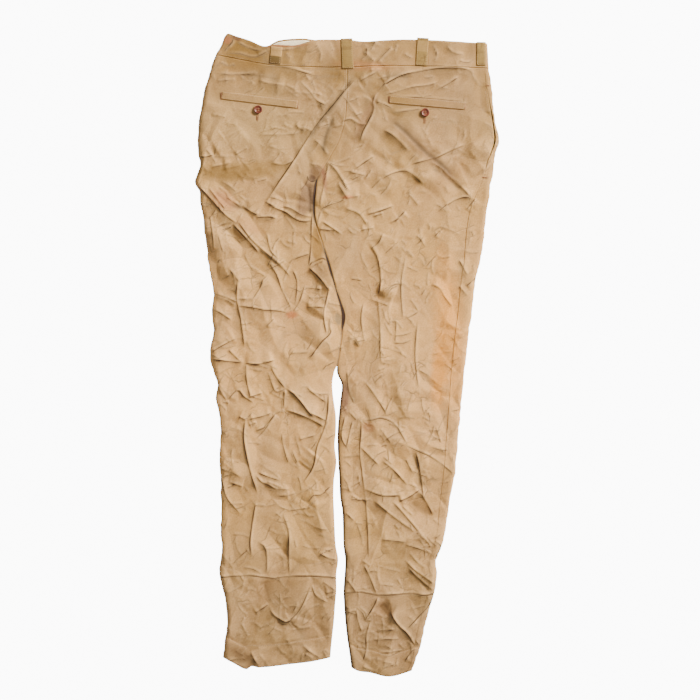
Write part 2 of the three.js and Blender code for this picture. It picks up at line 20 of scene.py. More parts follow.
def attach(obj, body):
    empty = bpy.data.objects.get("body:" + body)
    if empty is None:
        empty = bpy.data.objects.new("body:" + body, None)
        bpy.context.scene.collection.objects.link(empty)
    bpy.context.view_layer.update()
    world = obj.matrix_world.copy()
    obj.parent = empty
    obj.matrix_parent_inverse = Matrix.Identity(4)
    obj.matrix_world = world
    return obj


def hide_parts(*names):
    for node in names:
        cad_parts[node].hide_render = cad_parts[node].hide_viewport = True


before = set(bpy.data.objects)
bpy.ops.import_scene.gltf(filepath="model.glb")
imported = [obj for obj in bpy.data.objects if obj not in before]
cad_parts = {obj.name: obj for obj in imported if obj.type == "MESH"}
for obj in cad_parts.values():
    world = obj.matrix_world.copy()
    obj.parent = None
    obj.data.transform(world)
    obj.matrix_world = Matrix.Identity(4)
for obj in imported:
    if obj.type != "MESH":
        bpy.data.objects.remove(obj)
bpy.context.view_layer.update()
MM = 0.001
print("nodes:", ", ".join(sorted(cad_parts)))

# %% [markdown]
# ## The outline
# Real trousers have a pattern: a few widths at a few heights. Here a row of the table is one cross
# section, with the outer edge of each side and its centre seam or inner leg edge. The right side
# seam lies up on the back, because the front is folded round the edge there. Between rows a smooth
# curve is followed, so the edges wander as the real ones do without a long list of points.

# %% Sections and edge lines
def table(columns, rows):
    return {name: np.array([row[i] for row in rows], dtype=float) for i, name in enumerate(columns)}


SECTIONS = table(("y", "left_outer", "left_inner", "right_inner", "right_seam", "right_outer"), [
    (541, -209, 0, 0, 232, 238),
    (525, -215, 0, 0, 232, 239),
    (508, -225, 0, 0, 234, 240),
    (490, -231, 0, 0, 236, 241),
    (465, -239, 0, 0, 236, 245),
    (440, -245, -1, -1, 240, 248),
    (415, -249, -2, -2, 244, 250),
    (390, -253, -6, -6, 248, 254),
    (365, -254, -14, -14, 250, 259),
    (343, -253, -26, -26, 244, 253),
    (326, -250, -36, -36, 237, 250),
    (308, -255, -47, -47, 234, 249),
    (293, -259, -53.5, -52.5, 229, 245),
    (278, -251, -56, -54.5, 222, 243),
    (255, -249, -58, -56.5, 212, 240),
    (230, -244, -56.5, -55, 206, 236),
    (208, -242, -49.5, -49, 203, 234),
    (185, -239, -41, -41, 201, 231),
    (160, -237, -33, -33, 199, 227),
    (135, -232, -26, -26, 195, 220),
    (108, -227, -18, -18, 192, 216),
    (84, -229, -10, -10, 190, 214),
    (66, -230, -6, -6, 188, 212),
    (40, -227, -9, -9, 184, 207),
    (12, -233, -13, -13, 181, 205),
    (-12, -232, -16, -16, 179, 202),
    (-30, -226, -22, -17, 177, 199),
    (-50, -221, -25, -9, 176, 198),
    (-75, -223, -23, -11, 174, 195),
    (-103, -217, -19, -14, 172, 193),
    (-130, -215, -19, -16, 170, 190),
    (-155, -216, -21, -16, 168, 188),
    (-182, -217, -18, -15, 166, 186),
    (-212, -215, -22, -13, 163, 182),
    (-240, -215, -23, -12, 160, 176),
    (-265, -214, -22, -8, 157, 172),
    (-290, -215, -21, -7, 155, 169),
    (-325, -213, -19, -6, 148, 161),
    (-348, -215, -15, -3, 140, 152),
    (-372, -217, -18, -4, 141, 153),
    (-400, -211, -18, -6, 138, 150),
    (-425, -206, -20, -5, 132, 143),
    (-452, -204, -22, -3, 124, 135),
    (-480, -207, -25, 0, 118, 128),
    (-500, -209, -27, 3, 115, 123),
    (-514, -211, -28, 5, 112, 119),
    (-538, -211, -28, 8, 103, 110),
])
WAIST_SEAM_LINE = table(("x", "y"), [
    (-226, 511), (-200, 506), (-170, 500), (-133, 493), (-95, 490), (0, 489),
    (60, 491), (120, 491), (180, 489), (242, 487),
])
BACK_BAND_EDGE = table(("x", "y"), [
    (-209, 541), (-203, 547), (-190, 543), (-165, 535), (-142, 525), (-125, 527),
    (-90, 526), (-72, 530), (-55, 535), (0, 536), (30, 533), (80, 536), (125, 536),
    (180, 533), (238, 530),
])
FRONT_BAND_EDGE = table(("x", "y"), [
    (-209, 541), (-190, 536), (-165, 529), (-142, 521), (-130, 529), (-115, 536),
    (-75, 539), (-50, 536), (0, 534), (120, 533), (238, 529),
])
HEM_LINE = {
    "left": table(("x", "y"), [
        (-211, -514), (-190, -525), (-171, -534), (-162, -529), (-150, -531), (-100, -526),
        (-62, -521), (-28, -514),
    ]),
    "right": table(("x", "y"), [
        (7, -531), (20, -537), (40, -540), (65, -546), (80, -546), (95, -542), (112, -536),
    ]),
}
HEM_LEVEL = {"left": -514, "right": -538}
WAIST_SEAM = 490
print("sections:", len(SECTIONS["y"]), "from the hem up to the waist seam at", WAIST_SEAM, "mm")

# %% [markdown]
# The curve between two rows is a cubic whose slope at each row comes from its neighbours, so it
# passes through every row. NumPy works out thousands of places in one call.

# %% A smooth curve through a table's rows
def value_at(rows, key, column, at):
    places = rows[key]
    values = rows[column]
    if places[0] > places[-1]:
        places = places[::-1]
        values = values[::-1]
    slopes = np.gradient(values, places)
    slopes[1:-1] = (values[2:] - values[:-2]) / (places[2:] - places[:-2])
    wanted = np.clip(at, places[0], places[-1])
    i = np.clip(np.searchsorted(places, wanted, side="left") - 1, 0, len(places) - 2)
    span = places[i + 1] - places[i]
    t = (wanted - places[i]) / span
    return (
        values[i] * (2 * t**3 - 3 * t**2 + 1)
        + values[i + 1] * (3 * t**2 - 2 * t**3)
        + slopes[i] * span * (t**3 - 2 * t**2 + t)
        + slopes[i + 1] * span * (t**3 - t**2)
    )


def ease(t):
    t = np.clip(t, 0, 1)
    return t * t * (3 - 2 * t)


def mix(a, b, t):
    return a + (b - a) * t


def bell(t):
    return np.exp(-(t**2))


print("waist across:", round(float(SECTIONS["right_outer"][1] - SECTIONS["left_outer"][1])), "mm")

# %% [markdown]
# ## Creases
# Crumpled cotton shows long folds that start at a pull point, shorter ones that branch off, and
# faint dents between them. Each row below is one crease, drawn along the cloth: its kind, how strong
# it is, and a few points of its line. A fold falls away slowly on the side that faces the light, up
# and to the right, and steeply on the other, where the cloth rolls under. So a kind has two reaches,
# lit and shade. Its ridge is the narrow roll along the line itself. Its mark says how dark a line of
# painted shade, with some dirt, lies at the fold's foot, and its shade spread how far painted shade
# reaches beside it on the dark side or in a hollow.

# %% Kinds of crease
# All lengths are in mm. Marks and shade spreads go from 0 to about 1. The shade kind is a sunken
# stroke of painted shade.
KINDS = {
    "deep": {"rise": 3.8, "ridge": 0.7, "lit": 28, "shade": 2.2, "mark": 1.2, "shade_spread": 0.22},
    "fold": {"rise": 2.0, "ridge": 0.5, "lit": 17, "shade": 1.9, "mark": 1.0, "shade_spread": 0.14},
    "faint": {"rise": 0.8, "ridge": 0.3, "lit": 10, "shade": 1.6, "mark": 0.75, "shade_spread": 0.06},
    "tiny": {"rise": 0.28, "ridge": 0.16, "lit": 5, "shade": 1.3, "mark": 0.6, "shade_spread": 0},
    "broad": {"rise": 5.2, "ridge": 0, "lit": 44, "shade": 24, "mark": 0, "shade_spread": 0},
    "hollow": {"rise": -3.0, "ridge": 0, "lit": 18, "shade": 12, "mark": 0.2, "shade_spread": 0.45},
    "line": {"rise": 0.45, "ridge": 0.25, "lit": 7, "shade": 1.6, "mark": 1.1, "shade_spread": 0.1},
    "shade": {"rise": -2.4, "ridge": 0, "lit": 19, "shade": 15, "mark": 0, "shade_spread": 0.9},
    "seam": {"rise": -0.5, "ridge": 0.1, "lit": 2.2, "shade": 1.8, "mark": 0.85, "shade_spread": 0},
    "soft seam": {"rise": -0.4, "ridge": 0, "lit": 2.2, "shade": 1.8, "mark": 0.5, "shade_spread": 0},
}
print("kinds of crease:", ", ".join(KINDS))

# %% [markdown]
# The seat shows how the trousers were worn and then laid down: one long fold runs from the right
# hip through the centre back to the left thigh, and another hangs in an arch from the right side.

# %% Creases of the seat
SEAT_CREASES = [
    ("deep", 1.15, [
        (22, 475), (0, 452), (-22, 425), (-45, 398), (-65, 370), (-90, 330), (-118, 289),
        (-138, 258),
    ]),
    ("hollow", 0.6, [(18, 457), (-14, 420), (-48, 376), (-76, 328)]),
    ("deep", 0.8, [(-136, 493), (-115, 491), (-95, 487), (-72, 480), (-55, 476)]),
    ("line", 1.0, [(-209, 515), (-203, 523), (-196, 530), (-192, 539)]),
    ("line", 0.7, [(-211, 514), (-183, 513), (-160, 507), (-147, 510), (-130, 520)]),
    ("fold", 0.8, [(-222, 478), (-195, 477), (-148, 479)]),
    ("fold", 0.7, [(-222, 465), (-205, 467), (-188, 467)]),
    ("deep", 0.5, [(-152, 468), (-140, 463), (-125, 460), (-102, 457)]),
    ("faint", 1, [(-105, 459), (-86, 449)]),
    ("faint", 1, [(-217, 498), (-202, 493), (-188, 494)]),
    ("fold", 0.8, [(-71, 477), (-64, 466)]),
    ("fold", 0.9, [(-82, 467), (-70, 455), (-60, 444), (-52, 433), (-33, 423)]),
    ("faint", 1.1, [(-59, 447), (-43, 440)]),
    ("faint", 1, [(-107, 408), (-95, 412), (-71, 411)]),
    ("fold", 0.8, [(-89, 392), (-78, 384), (-70, 380)]),
    ("fold", 0.8, [(-77, 387), (-56, 379)]),
    ("faint", 1, [(-110, 393), (-93, 384)]),
    ("faint", 1, [(-127, 387), (-98, 381)]),
    ("faint", 1.2, [(-152, 374), (-110, 374), (-80, 376)]),
    ("faint", 1, [(-207, 394), (-186, 391)]),
    ("faint", 1, [(-230, 409), (-205, 403)]),
    ("faint", 1, [(-52, 386), (-28, 394)]),
    ("deep", 0.65, [(-29, 387), (-12, 390), (-5, 398), (5, 401), (12, 398), (22, 392), (37, 392)]),
    ("fold", 0.9, [(-252, 337), (-238, 337), (-226, 341)]),
    ("broad", 0.6, [(-230, 344), (-205, 355), (-188, 368), (-172, 381)]),
    ("fold", 0.7, [(-232, 319), (-212, 323), (-196, 327)]),
    ("deep", 0.4, [(-210, 316), (-195, 319), (-178, 324)]),
    ("faint", 1, [(-192, 339), (-168, 353)]),
    ("fold", 0.8, [(-130, 327), (-108, 323), (-88, 331)]),
    ("faint", 1, [(-152, 295), (-136, 299)]),
    ("deep", 1.0, [
        (222, 473), (205, 485), (180, 488), (150, 487), (120, 482), (92, 475), (65, 460), (50, 446),
    ]),
    ("deep", 0.9, [(52, 448), (45, 433), (45, 415), (36, 395), (28, 380), (21, 360)]),
    ("deep", 0.6, [(57, 485), (45, 478), (30, 470), (20, 464)]),
    ("fold", 0.6, [(38, 483), (60, 485)]),
    ("fold", 0.6, [(-2, 482), (22, 491)]),
    ("fold", 0.9, [(49, 534), (39, 515)]),
    ("fold", 1, [(77, 524), (62, 509), (51, 496)]),
    ("fold", 0.9, [(28, 515), (48, 497)]),
    ("fold", 0.9, [(60, 442), (80, 446), (110, 455), (140, 459), (157, 465)]),
    ("faint", 1.2, [(148, 449), (170, 460), (190, 473)]),
    ("fold", 0.9, [(48, 431), (62, 427), (78, 419)]),
    ("fold", 0.8, [(75, 412), (100, 415), (127, 419)]),
    ("faint", 1, [(13, 406), (27, 412)]),
    ("broad", 0.9, [(73, 394), (95, 375), (112, 358), (138, 336)]),
    ("fold", 0.9, [(60, 384), (78, 373), (92, 360), (108, 343)]),
    ("deep", 0.8, [(108, 324), (130, 330), (152, 336), (175, 347), (203, 359)]),
    ("deep", 0.8, [(138, 330), (158, 319), (175, 303), (192, 288), (215, 263)]),
    ("hollow", 1.1, [(143, 320), (160, 309), (178, 294), (195, 277)]),
    ("broad", 1.0, [(203, 354), (215, 340), (228, 322), (237, 309)]),
    ("broad", 0.8, [(211, 364), (224, 348), (248, 343)]),
    ("fold", 0.9, [(47, 339), (30, 328), (13, 316)]),
    ("fold", 0.8, [(3, 311), (15, 309), (32, 305)]),
    ("faint", 1, [(8, 298), (24, 306)]),
    ("faint", 1, [(30, 299), (42, 315)]),
    ("faint", 1, [(41, 282), (60, 301)]),
    ("fold", 1.1, [(58, 299), (80, 310), (100, 313), (113, 306), (132, 288)]),
    ("deep", 0.5, [(-2, 266), (22, 271)]),
    ("fold", 0.9, [(-17, 292), (2, 264)]),
    ("fold", 1.1, [(-37, 330), (-22, 318), (-10, 300), (2, 277)]),
    ("fold", 1.1, [(33, 239), (50, 243), (80, 254)]),
    ("fold", 0.8, [(43, 235), (62, 241)]),
    ("fold", 1, [(100, 245), (88, 233), (73, 224)]),
    ("deep", 0.8, [(61, 207), (55, 192), (40, 179)]),
    ("fold", 0.8, [(23, 212), (47, 216)]),
    ("fold", 1, [(-3, 249), (15, 243), (25, 235), (34, 220)]),
    ("fold", 1, [(153, 241), (173, 257), (190, 266), (205, 268), (215, 262)]),
    ("fold", 0.9, [(203, 246), (219, 266)]),
    ("faint", 1, [(103, 277), (122, 253)]),
    ("faint", 1.1, [(118, 204), (130, 190)]),
    ("faint", 1.1, [(148, 200), (160, 212)]),
]
print("seat:", len(SEAT_CREASES), "creases")

# %% [markdown]
# Cloth gathers at the crotch, where four seams meet, and the inner leg of the left thigh is folded
# over itself. Both are drawn as lines with little rise, because the layers lie pressed together.

# %% Creases of the crotch and the left thigh
CROTCH_CREASES = [
    ("line", 1.0, [(-66.6, 306), (-66, 300), (-60, 295.5), (-51, 298)]),
    ("line", 0.6, [(-63, 318), (-60, 324), (-46, 321), (-39, 311), (-37, 300), (-40, 286)]),
    ("fold", 0.9, [(-36, 332), (-33, 320), (-36, 305), (-40, 284), (-45, 260), (-43, 246)]),
    ("line", 0.8, [(-43, 250), (-49, 228), (-51, 216), (-47, 199), (-40, 179), (-34, 165)]),
    ("line", 1.15, [(-58, 244), (-60, 226), (-60.5, 200), (-61, 186), (-63, 164), (-66, 148)]),
    ("line", 1.1, [(-65, 150), (-57.6, 158), (-41.6, 165), (-34, 161)]),
    ("line", 0.8, [(-62, 148), (-52, 155), (-40, 160)]),
    ("faint", 1.4, [(-59, 366), (-48, 360), (-31, 338)]),
    ("line", 0.7, [(-36, 328), (-17, 311), (-3, 291), (5, 275)]),
    ("fold", 1, [(-44, 228), (-24, 215), (-8, 204)]),
    ("fold", 0.9, [(-48, 214), (-18, 211)]),
    ("faint", 1.2, [(-47, 244), (-33, 254), (-8, 263), (-1, 273)]),
]
LEFT_THIGH_CREASES = [
    ("deep", 1.1, [(-256, 290), (-240, 275), (-228, 262), (-215, 247), (-203, 235), (-184, 222)]),
    ("fold", 1.1, [(-235, 284), (-220, 265), (-206, 247)]),
    ("fold", 1, [(-205, 269), (-192, 260), (-178, 250)]),
    ("deep", 0.8, [(-185, 259), (-170, 248), (-150, 237)]),
    ("fold", 1, [(-157, 234), (-130, 235), (-118, 231)]),
    ("fold", 1, [(-139, 261), (-120, 250)]),
    ("fold", 1.1, [(-132, 253), (-105, 243), (-85, 230), (-70, 227), (-57, 230)]),
    ("fold", 0.9, [(-110, 253), (-95, 249), (-78, 239), (-58, 234)]),
    ("deep", 1.0, [(-195, 224), (-180, 208), (-165, 192), (-148, 172)]),
    ("deep", 0.9, [(-187, 230), (-165, 200), (-148, 183), (-120, 160), (-104, 146)]),
    ("deep", 0.7, [(-152, 182), (-130, 165), (-107, 146), (-96, 132)]),
    ("fold", 0.9, [(-136, 208), (-133, 190), (-128, 175), (-116, 164)]),
    ("faint", 1.2, [(-100, 153), (-90, 163), (-62, 173)]),
    ("broad", 0.55, [(-230, 252), (-222, 220), (-215, 175), (-205, 140), (-193, 122)]),
    ("faint", 1.1, [(-233, 238), (-228, 205), (-226, 178)]),
    ("fold", 0.9, [(-137, 163), (-120, 138), (-112, 115), (-93, 75)]),
    ("fold", 1.0, [(-93, 147), (-85, 125), (-88, 82)]),
    ("fold", 0.9, [(-71, 120), (-80, 92), (-92, 72)]),
    ("fold", 0.9, [(-197, 144), (-182, 123)]),
    ("deep", 0.9, [(-185, 128), (-187, 105), (-186, 88), (-181, 65), (-178, 45), (-174, 12)]),
    ("fold", 0.8, [(-224, 105), (-205, 98), (-185, 89)]),
    ("fold", 0.6, [(-224, 99), (-205, 93), (-188, 83)]),
    ("fold", 0.9, [(-228, 78), (-215, 72), (-196, 59)]),
    ("deep", 0.7, [(-188, 84), (-160, 81), (-140, 77), (-112, 75), (-92, 68)]),
    ("faint", 1, [(-187, 95), (-158, 95)]),
    ("faint", 1.1, [(-141, 132), (-147, 115), (-162, 91)]),
    ("deep", 1.0, [(-66, 150), (-48, 133), (-28, 108)]),
    ("line", 1.1, [(-30, 119), (-32, 106), (-38, 79), (-39.5, 64), (-34, 34)]),
    ("fold", 0.7, [(-33, 104), (-38, 79), (-39.5, 64), (-34, 34)]),
    ("fold", 0.9, [(-72, 115), (-43, 112)]),
    ("deep", 0.6, [(-70, 82), (-50, 82), (-36, 81)]),
    ("fold", 1, [(-27, 67), (-30, 52), (-27, 38), (-42, 22), (-65, -9)]),
    ("faint", 1, [(-123, 62), (-137, 48)]),
]
print("crotch:", len(CROTCH_CREASES), "left thigh:", len(LEFT_THIGH_CREASES))

# %% [markdown]
# Behind the knee a leg is bent all day, so its creases are the deepest and cross each other. Lower
# down they turn along the leg and end at the stitch line of the wide hem.

# %% Creases of the left knee and shin
LEFT_KNEE_CREASES = [
    ("deep", 0.7, [(-232, 4), (-215, 15), (-188, 29)]),
    ("fold", 1.1, [(-230, -7), (-205, -10), (-176, -13)]),
    ("fold", 0.9, [(-202, 10), (-190, -2), (-177, -14)]),
    ("deep", 0.9, [(-175, -13), (-155, -15), (-140, -13), (-122, -8)]),
    ("faint", 1, [(-97, 3), (-63, 5)]),
    ("fold", 1, [(-172, -13), (-170, -45), (-163, -73)]),
    ("fold", 1, [(-130, -18), (-118, -40), (-103, -58)]),
    ("fold", 0.8, [(-134, -28), (-127, -50), (-120, -62), (-102, -56)]),
    ("deep", 1.2, [(-107, -55), (-95, -62), (-80, -77), (-66, -95), (-54, -108)]),
    ("fold", 1, [(-64, -98), (-50, -104), (-33, -113)]),
    ("deep", 0.8, [(-107, -92), (-75, -103), (-50, -115), (-35, -124)]),
    ("fold", 1, [(-106, -58), (-107, -92)]),
    ("fold", 1, [(-69, -53), (-57, -65), (-36, -80)]),
    ("deep", 0.9, [(-31, -58), (-32, -95), (-38, -125), (-50, -155), (-57, -190), (-76, -220)]),
    ("deep", 0.6, [(-226, -38), (-215, -60), (-205, -77)]),
    ("faint", 1, [(-212, -80), (-200, -81)]),
    ("fold", 1, [(-202, -77), (-190, -63), (-183, -60), (-175, -70), (-158, -81)]),
    ("fold", 0.8, [(-170, -73), (-143, -64)]),
    ("fold", 0.8, [(-184, -104), (-170, -111)]),
    ("deep", 1.1, [(-172, -108), (-175, -135), (-172, -160), (-163, -200), (-151, -237)]),
    ("fold", 0.7, [(-167, -119), (-153, -114)]),
    ("fold", 1, [(-167, -109), (-145, -104), (-128, -98)]),
    ("fold", 1, [(-157, -129), (-140, -122), (-120, -100)]),
    ("faint", 1.2, [(-111, -133), (-108, -155), (-99, -185)]),
    ("faint", 1, [(-94, -161), (-84, -184)]),
    ("broad", 0.9, [(-215, -176), (-200, -190), (-173, -212)]),
    ("fold", 0.9, [(-202, -215), (-176, -224)]),
    ("fold", 0.9, [(-214, -203), (-205, -240), (-190, -260), (-178, -272)]),
    ("deep", 0.8, [(-155, -203), (-145, -215), (-133, -220), (-120, -227), (-97, -228)]),
    ("fold", 1, [(-152, -199), (-132, -207), (-112, -213)]),
    ("fold", 0.8, [(-137, -214), (-108, -227)]),
    ("fold", 1, [(-67, -252), (-55, -238), (-45, -237), (-26, -223)]),
    ("faint", 1.1, [(-82, -144), (-53, -136)]),
    ("broad", 0.6, [(-77, -187), (-58, -163)]),
]
LEFT_SHIN_CREASES = [
    ("fold", 1.1, [(-154, -246), (-161, -290), (-164, -320), (-161, -345)]),
    ("fold", 1.0, [(-109, -268), (-99, -300), (-99, -335), (-98, -374)]),
    ("fold", 0.9, [(-152, -316), (-138, -328), (-136, -374)]),
    ("broad", 0.9, [(-56, -243), (-42, -300), (-32, -328)]),
    ("fold", 1, [(-47, -336), (-33, -344), (-16, -349)]),
    ("faint", 1, [(-27, -357), (-16, -351)]),
    ("faint", 1.1, [(-102, -265), (-68, -260)]),
    ("line", 1.1, [(-230, -378), (-190, -375), (-162, -374), (-128, -379), (-112, -379)]),
    ("line", 1.1, [(-136, -381), (-95, -375.5), (-50, -375), (0, -381)]),
    ("broad", 0.3, [(-210, -379), (-120, -382), (-20, -380)]),
    ("hollow", 1.0, [(-142, -384), (-136, -402), (-131, -424)]),
    ("deep", 0.8, [
        (-133, -422), (-128, -437), (-115, -448), (-103, -453), (-90, -445), (-78, -430),
        (-60, -390),
    ]),
    ("hollow", 0.8, [(-122, -451), (-104, -460), (-86, -451)]),
    ("fold", 1, [(-60, -390), (-53, -408), (-33, -421)]),
    ("fold", 0.8, [(-37, -405), (-18, -401)]),
    ("faint", 1.1, [(-35, -414), (-18, -407)]),
    ("fold", 0.7, [(-42, -384), (-18, -401)]),
    ("fold", 1, [(-157, -439), (-145, -431), (-133, -423)]),
    ("broad", 0.5, [(-211, -388), (-203, -455), (-188, -490)]),
    ("deep", 0.8, [(-164, -503), (-158, -515), (-150, -528)]),
    ("fold", 0.9, [(-77, -491), (-65, -502), (-43, -516)]),
    ("fold", 0.8, [(-72, -507), (-58, -516)]),
    ("fold", 0.8, [(-41, -501), (-34, -515)]),
    ("faint", 1, [(-180, -455), (-168, -480)]),
    ("faint", 1, [(-95, -468), (-60, -462)]),
]
print("left knee:", len(LEFT_KNEE_CREASES), "left shin:", len(LEFT_SHIN_CREASES))

# %% [markdown]
# The right leg is smoother at the thigh, with long shallow folds along it, and as crushed as the
# left one from the knee down.

# %% Creases of the right leg
RIGHT_THIGH_CREASES = [
    ("deep", 0.9, [(43, 182), (52, 165), (57, 140), (57, 118), (53, 98)]),
    ("deep", 0.6, [(52, 97), (55, 65), (57, 30), (57, 0), (59, -18)]),
    ("broad", 0.7, [(55, 104), (80, 94)]),
    ("faint", 1.1, [(6, 130), (27, 127)]),
    ("faint", 1, [(68, 108), (80, 120), (103, 120)]),
    ("fold", 0.9, [(190, 163), (198, 148), (205, 135)]),
    ("fold", 0.8, [(190, 118), (205, 100)]),
    ("fold", 1, [(203, 116), (221, 132)]),
    ("fold", 1, [(143, 121), (158, 113), (166, 99), (182, 80)]),
    ("broad", 0.5, [(160, 58), (178, 50), (194, 28)]),
    ("deep", 0.5, [(2, 32), (12, 25), (22, 13)]),
    ("faint", 1.2, [(100, 170), (92, 120), (95, 60)]),
    ("faint", 1.1, [(120, 60), (116, 0), (122, -60)]),
    ("faint", 1.1, [(28, 90), (24, 60), (30, 20)]),
    ("faint", 1, [(84, 60), (82, 20)]),
]
RIGHT_KNEE_CREASES = [
    ("hollow", 1.0, [(-4, -44), (0, -60), (13, -86)]),
    ("fold", 0.8, [(-16, -99), (0, -91)]),
    ("fold", 1, [(-3, -102), (-9, -140), (2, -160)]),
    ("faint", 1.2, [(2, -95), (17, -111)]),
    ("faint", 1.4, [(28, -43), (45, -65), (69, -102)]),
    ("broad", 0.7, [(73, -18), (90, -70), (98, -112)]),
    ("line", 0.9, [
        (23, -111), (40, -110), (55, -107), (68, -109), (82, -118), (93, -135), (105, -155),
    ]),
    ("broad", 0.35, [(30, -112), (55, -109), (76, -114), (94, -138)]),
    ("line", 0.95, [(98, -152), (122, -163), (140, -171), (165, -188), (184, -205)]),
    ("fold", 0.9, [(25, -110), (24, -135), (22, -165), (26, -200), (31, -240)]),
    ("line", 1, [(0, -28), (3, -60), (13, -84)]),
    ("line", 0.9, [(10, -110), (5, -130), (-1, -158)]),
    ("fold", 0.9, [(31, -236), (35, -290), (37, -345)]),
    ("fold", 0.9, [(20, -153), (35, -168), (55, -188)]),
    ("fold", 1, [(58, -178), (78, -194), (104, -222)]),
    ("faint", 1, [(61, -172), (77, -186)]),
    ("faint", 1.1, [(99, -176), (113, -202)]),
    ("hollow", 1.1, [(108, -162), (120, -190), (126, -232)]),
    ("fold", 1.1, [(117, -161), (124, -195), (131, -248)]),
    ("deep", 1.0, [(88, -248), (105, -241), (124, -228)]),
    ("deep", 0.7, [(122, -230), (132, -245), (147, -272)]),
    ("hollow", 0.6, [(108, -249), (126, -262), (146, -274)]),
    ("fold", 1, [(28, -227), (60, -238), (92, -238)]),
    ("faint", 1.1, [(6, -245), (27, -247)]),
    ("fold", 0.8, [(-2, -268), (12, -281)]),
    ("deep", 0.6, [(43, -245), (80, -275), (118, -302)]),
    ("deep", 0.7, [(75, -246), (92, -264), (120, -297), (147, -330)]),
    ("faint", 1, [(93, -256), (112, -273)]),
    ("fold", 0.8, [(118, -300), (132, -314)]),
    ("faint", 1, [(150, -120), (160, -150)]),
    ("faint", 1, [(60, -130), (75, -150)]),
]
RIGHT_SHIN_CREASES = [
    ("fold", 1, [(147, -314), (160, -325), (151, -345)]),
    ("faint", 1.1, [(55, -313), (102, -318)]),
    ("faint", 1.2, [(98, -322), (120, -328), (142, -337)]),
    ("deep", 0.6, [(98, -348), (115, -365), (132, -377), (152, -391)]),
    ("deep", 0.65, [(103, -360), (125, -382), (152, -404)]),
    ("fold", 0.7, [(25, -349), (40, -359)]),
    ("fold", 0.9, [(28, -355), (38, -375), (51, -407)]),
    ("line", 1.1, [(-14, -406), (20, -402), (52, -407), (78, -406), (92, -405)]),
    ("line", 1.1, [(66, -408), (110, -404.5), (135, -407), (165, -400)]),
    ("broad", 0.3, [(0, -407), (78, -409), (148, -406)]),
    ("faint", 1.1, [(-2, -379), (16, -403)]),
    ("fold", 1, [(53, -410), (47, -425), (30, -453)]),
    ("hollow", 1.0, [(54, -424), (64, -436), (72, -446)]),
    ("deep", 1.1, [(73, -433), (80, -448), (90, -461), (102, -472), (117, -495)]),
    ("deep", 0.6, [(-2, -438), (15, -435), (18, -448), (26, -472)]),
    ("fold", 1.1, [(152, -402), (140, -425), (125, -442), (101, -467)]),
    ("fold", 1, [(39, -453), (33, -478), (33, -500), (27, -522)]),
    ("faint", 1.1, [(45, -470), (82, -466)]),
    ("faint", 1.2, [(42, -484), (90, -482)]),
    ("faint", 1.0, [(50, -507), (96, -502)]),
    ("deep", 0.5, [(25, -529), (52, -539)]),
    ("fold", 0.8, [(117, -485), (124, -494)]),
    ("fold", 0.9, [(98, -522), (110, -505), (120, -497)]),
    ("faint", 1, [(60, -520), (88, -528)]),
]
print("right thigh:", len(RIGHT_THIGH_CREASES), "knee:", len(RIGHT_KNEE_CREASES))
print("right shin:", len(RIGHT_SHIN_CREASES))

# %% [markdown]
# The waistband is stiff and only buckles in short folds. Beside the largest folds lie broad sunken
# strokes of painted shade. Seams are drawn in the same way as creases: a narrow groove with a dark
# line.

# %% Creases of the waistband, painted shade and seams
BAND_CREASES = [
    ("faint", 1.0, [(-188, 534), (-176, 527), (-160, 520), (-142, 517)]),
    ("fold", 0.7, [(-132, 519), (-112, 518), (-92, 520), (-72, 527)]),
    ("faint", 1, [(-104, 512), (-96, 503)]),
    ("faint", 1.1, [(-52, 528), (-45, 510), (-48, 497)]),
    ("faint", 1, [(-30, 530), (-24, 516)]),
    ("faint", 1.1, [(22, 500), (34, 512), (30, 530)]),
    ("faint", 1, [(86, 530), (80, 515)]),
    ("faint", 1.1, [(96, 512), (112, 503)]),
    ("faint", 1.2, [(145, 528), (152, 512), (148, 497)]),
    ("fold", 0.7, [(168, 526), (180, 514), (200, 510)]),
    ("faint", 1.1, [(190, 500), (206, 497), (216, 503)]),
    ("soft seam", 1.2, [(-64, 512), (-64, 493)]),
    ("soft seam", 1.0, [(-52, 524), (-63, 512)]),
]
# Broad sunken strokes that darken the cloth with painted shade beside the largest folds.
SHADES = [
    ("shade", 0.8, [(67, 405), (101, 377), (130, 348), (164, 320), (187, 294)]),
    ("shade", 0.5, [(52, 446), (45, 422), (33, 399), (22, 382), (11, 360)]),
    ("shade", 0.7, [(16, 482), (-14, 436), (-48, 392), (-72, 356)]),
    ("shade", 0.7, [(-20, 410), (-36, 372), (-42, 340)]),
    ("shade", 0.8, [(-66, 292), (-62, 262), (-64, 236)]),
    ("shade", 0.6, [(-228, 282), (-196, 254), (-160, 246)]),
    ("shade", 0.6, [(60, 470), (84, 474), (110, 470)]),
    ("shade", 0.5, [(-186, 476), (-150, 474), (-110, 466)]),
]
SEAM_LINES = [
    ("seam", 1.1, [
        (-215, 450), (-190, 443.5), (-160, 441), (-130, 436.5), (-100, 433.5), (-84, 432),
    ]),
    ("soft seam", 1.0, [
        (-215, 434.5), (-190, 431), (-160, 428), (-130, 424), (-100, 420.5), (-84, 418.5),
    ]),
    ("seam", 0.8, [(-84, 431.5), (-83, 417)]),
    ("soft seam", 1.0, [(-215, 450), (-215.5, 433)]),
    ("soft seam", 1.0, [(-193, 441), (-193.5, 431)]),
    ("seam", 1.1, [(71, 442), (90, 439), (110, 438.5), (140, 436.5), (170, 433.5), (200, 429.5)]),
    ("soft seam", 1.0, [(71, 427.5), (100, 424), (150, 420.5), (200, 416.5)]),
    ("seam", 0.7, [(71, 441), (70.5, 426)]),
    ("seam", 0.8, [(199, 438), (200, 416)]),
    ("soft seam", 1.0, [(140, 398), (168, 397), (197, 396)]),
    ("soft seam", 1.0, [(3, 486), (2.5, 460), (1, 436), (-2, 420)]),
    ("soft seam", 0.9, [(-212, -491), (-165, -493), (-110, -490), (-78, -482), (-30, -478)]),
    ("soft seam", 0.9, [(4, -497), (45, -499), (110, -498)]),
    ("seam", 0.8, [(140.5, -104), (141.5, -117)]),
]
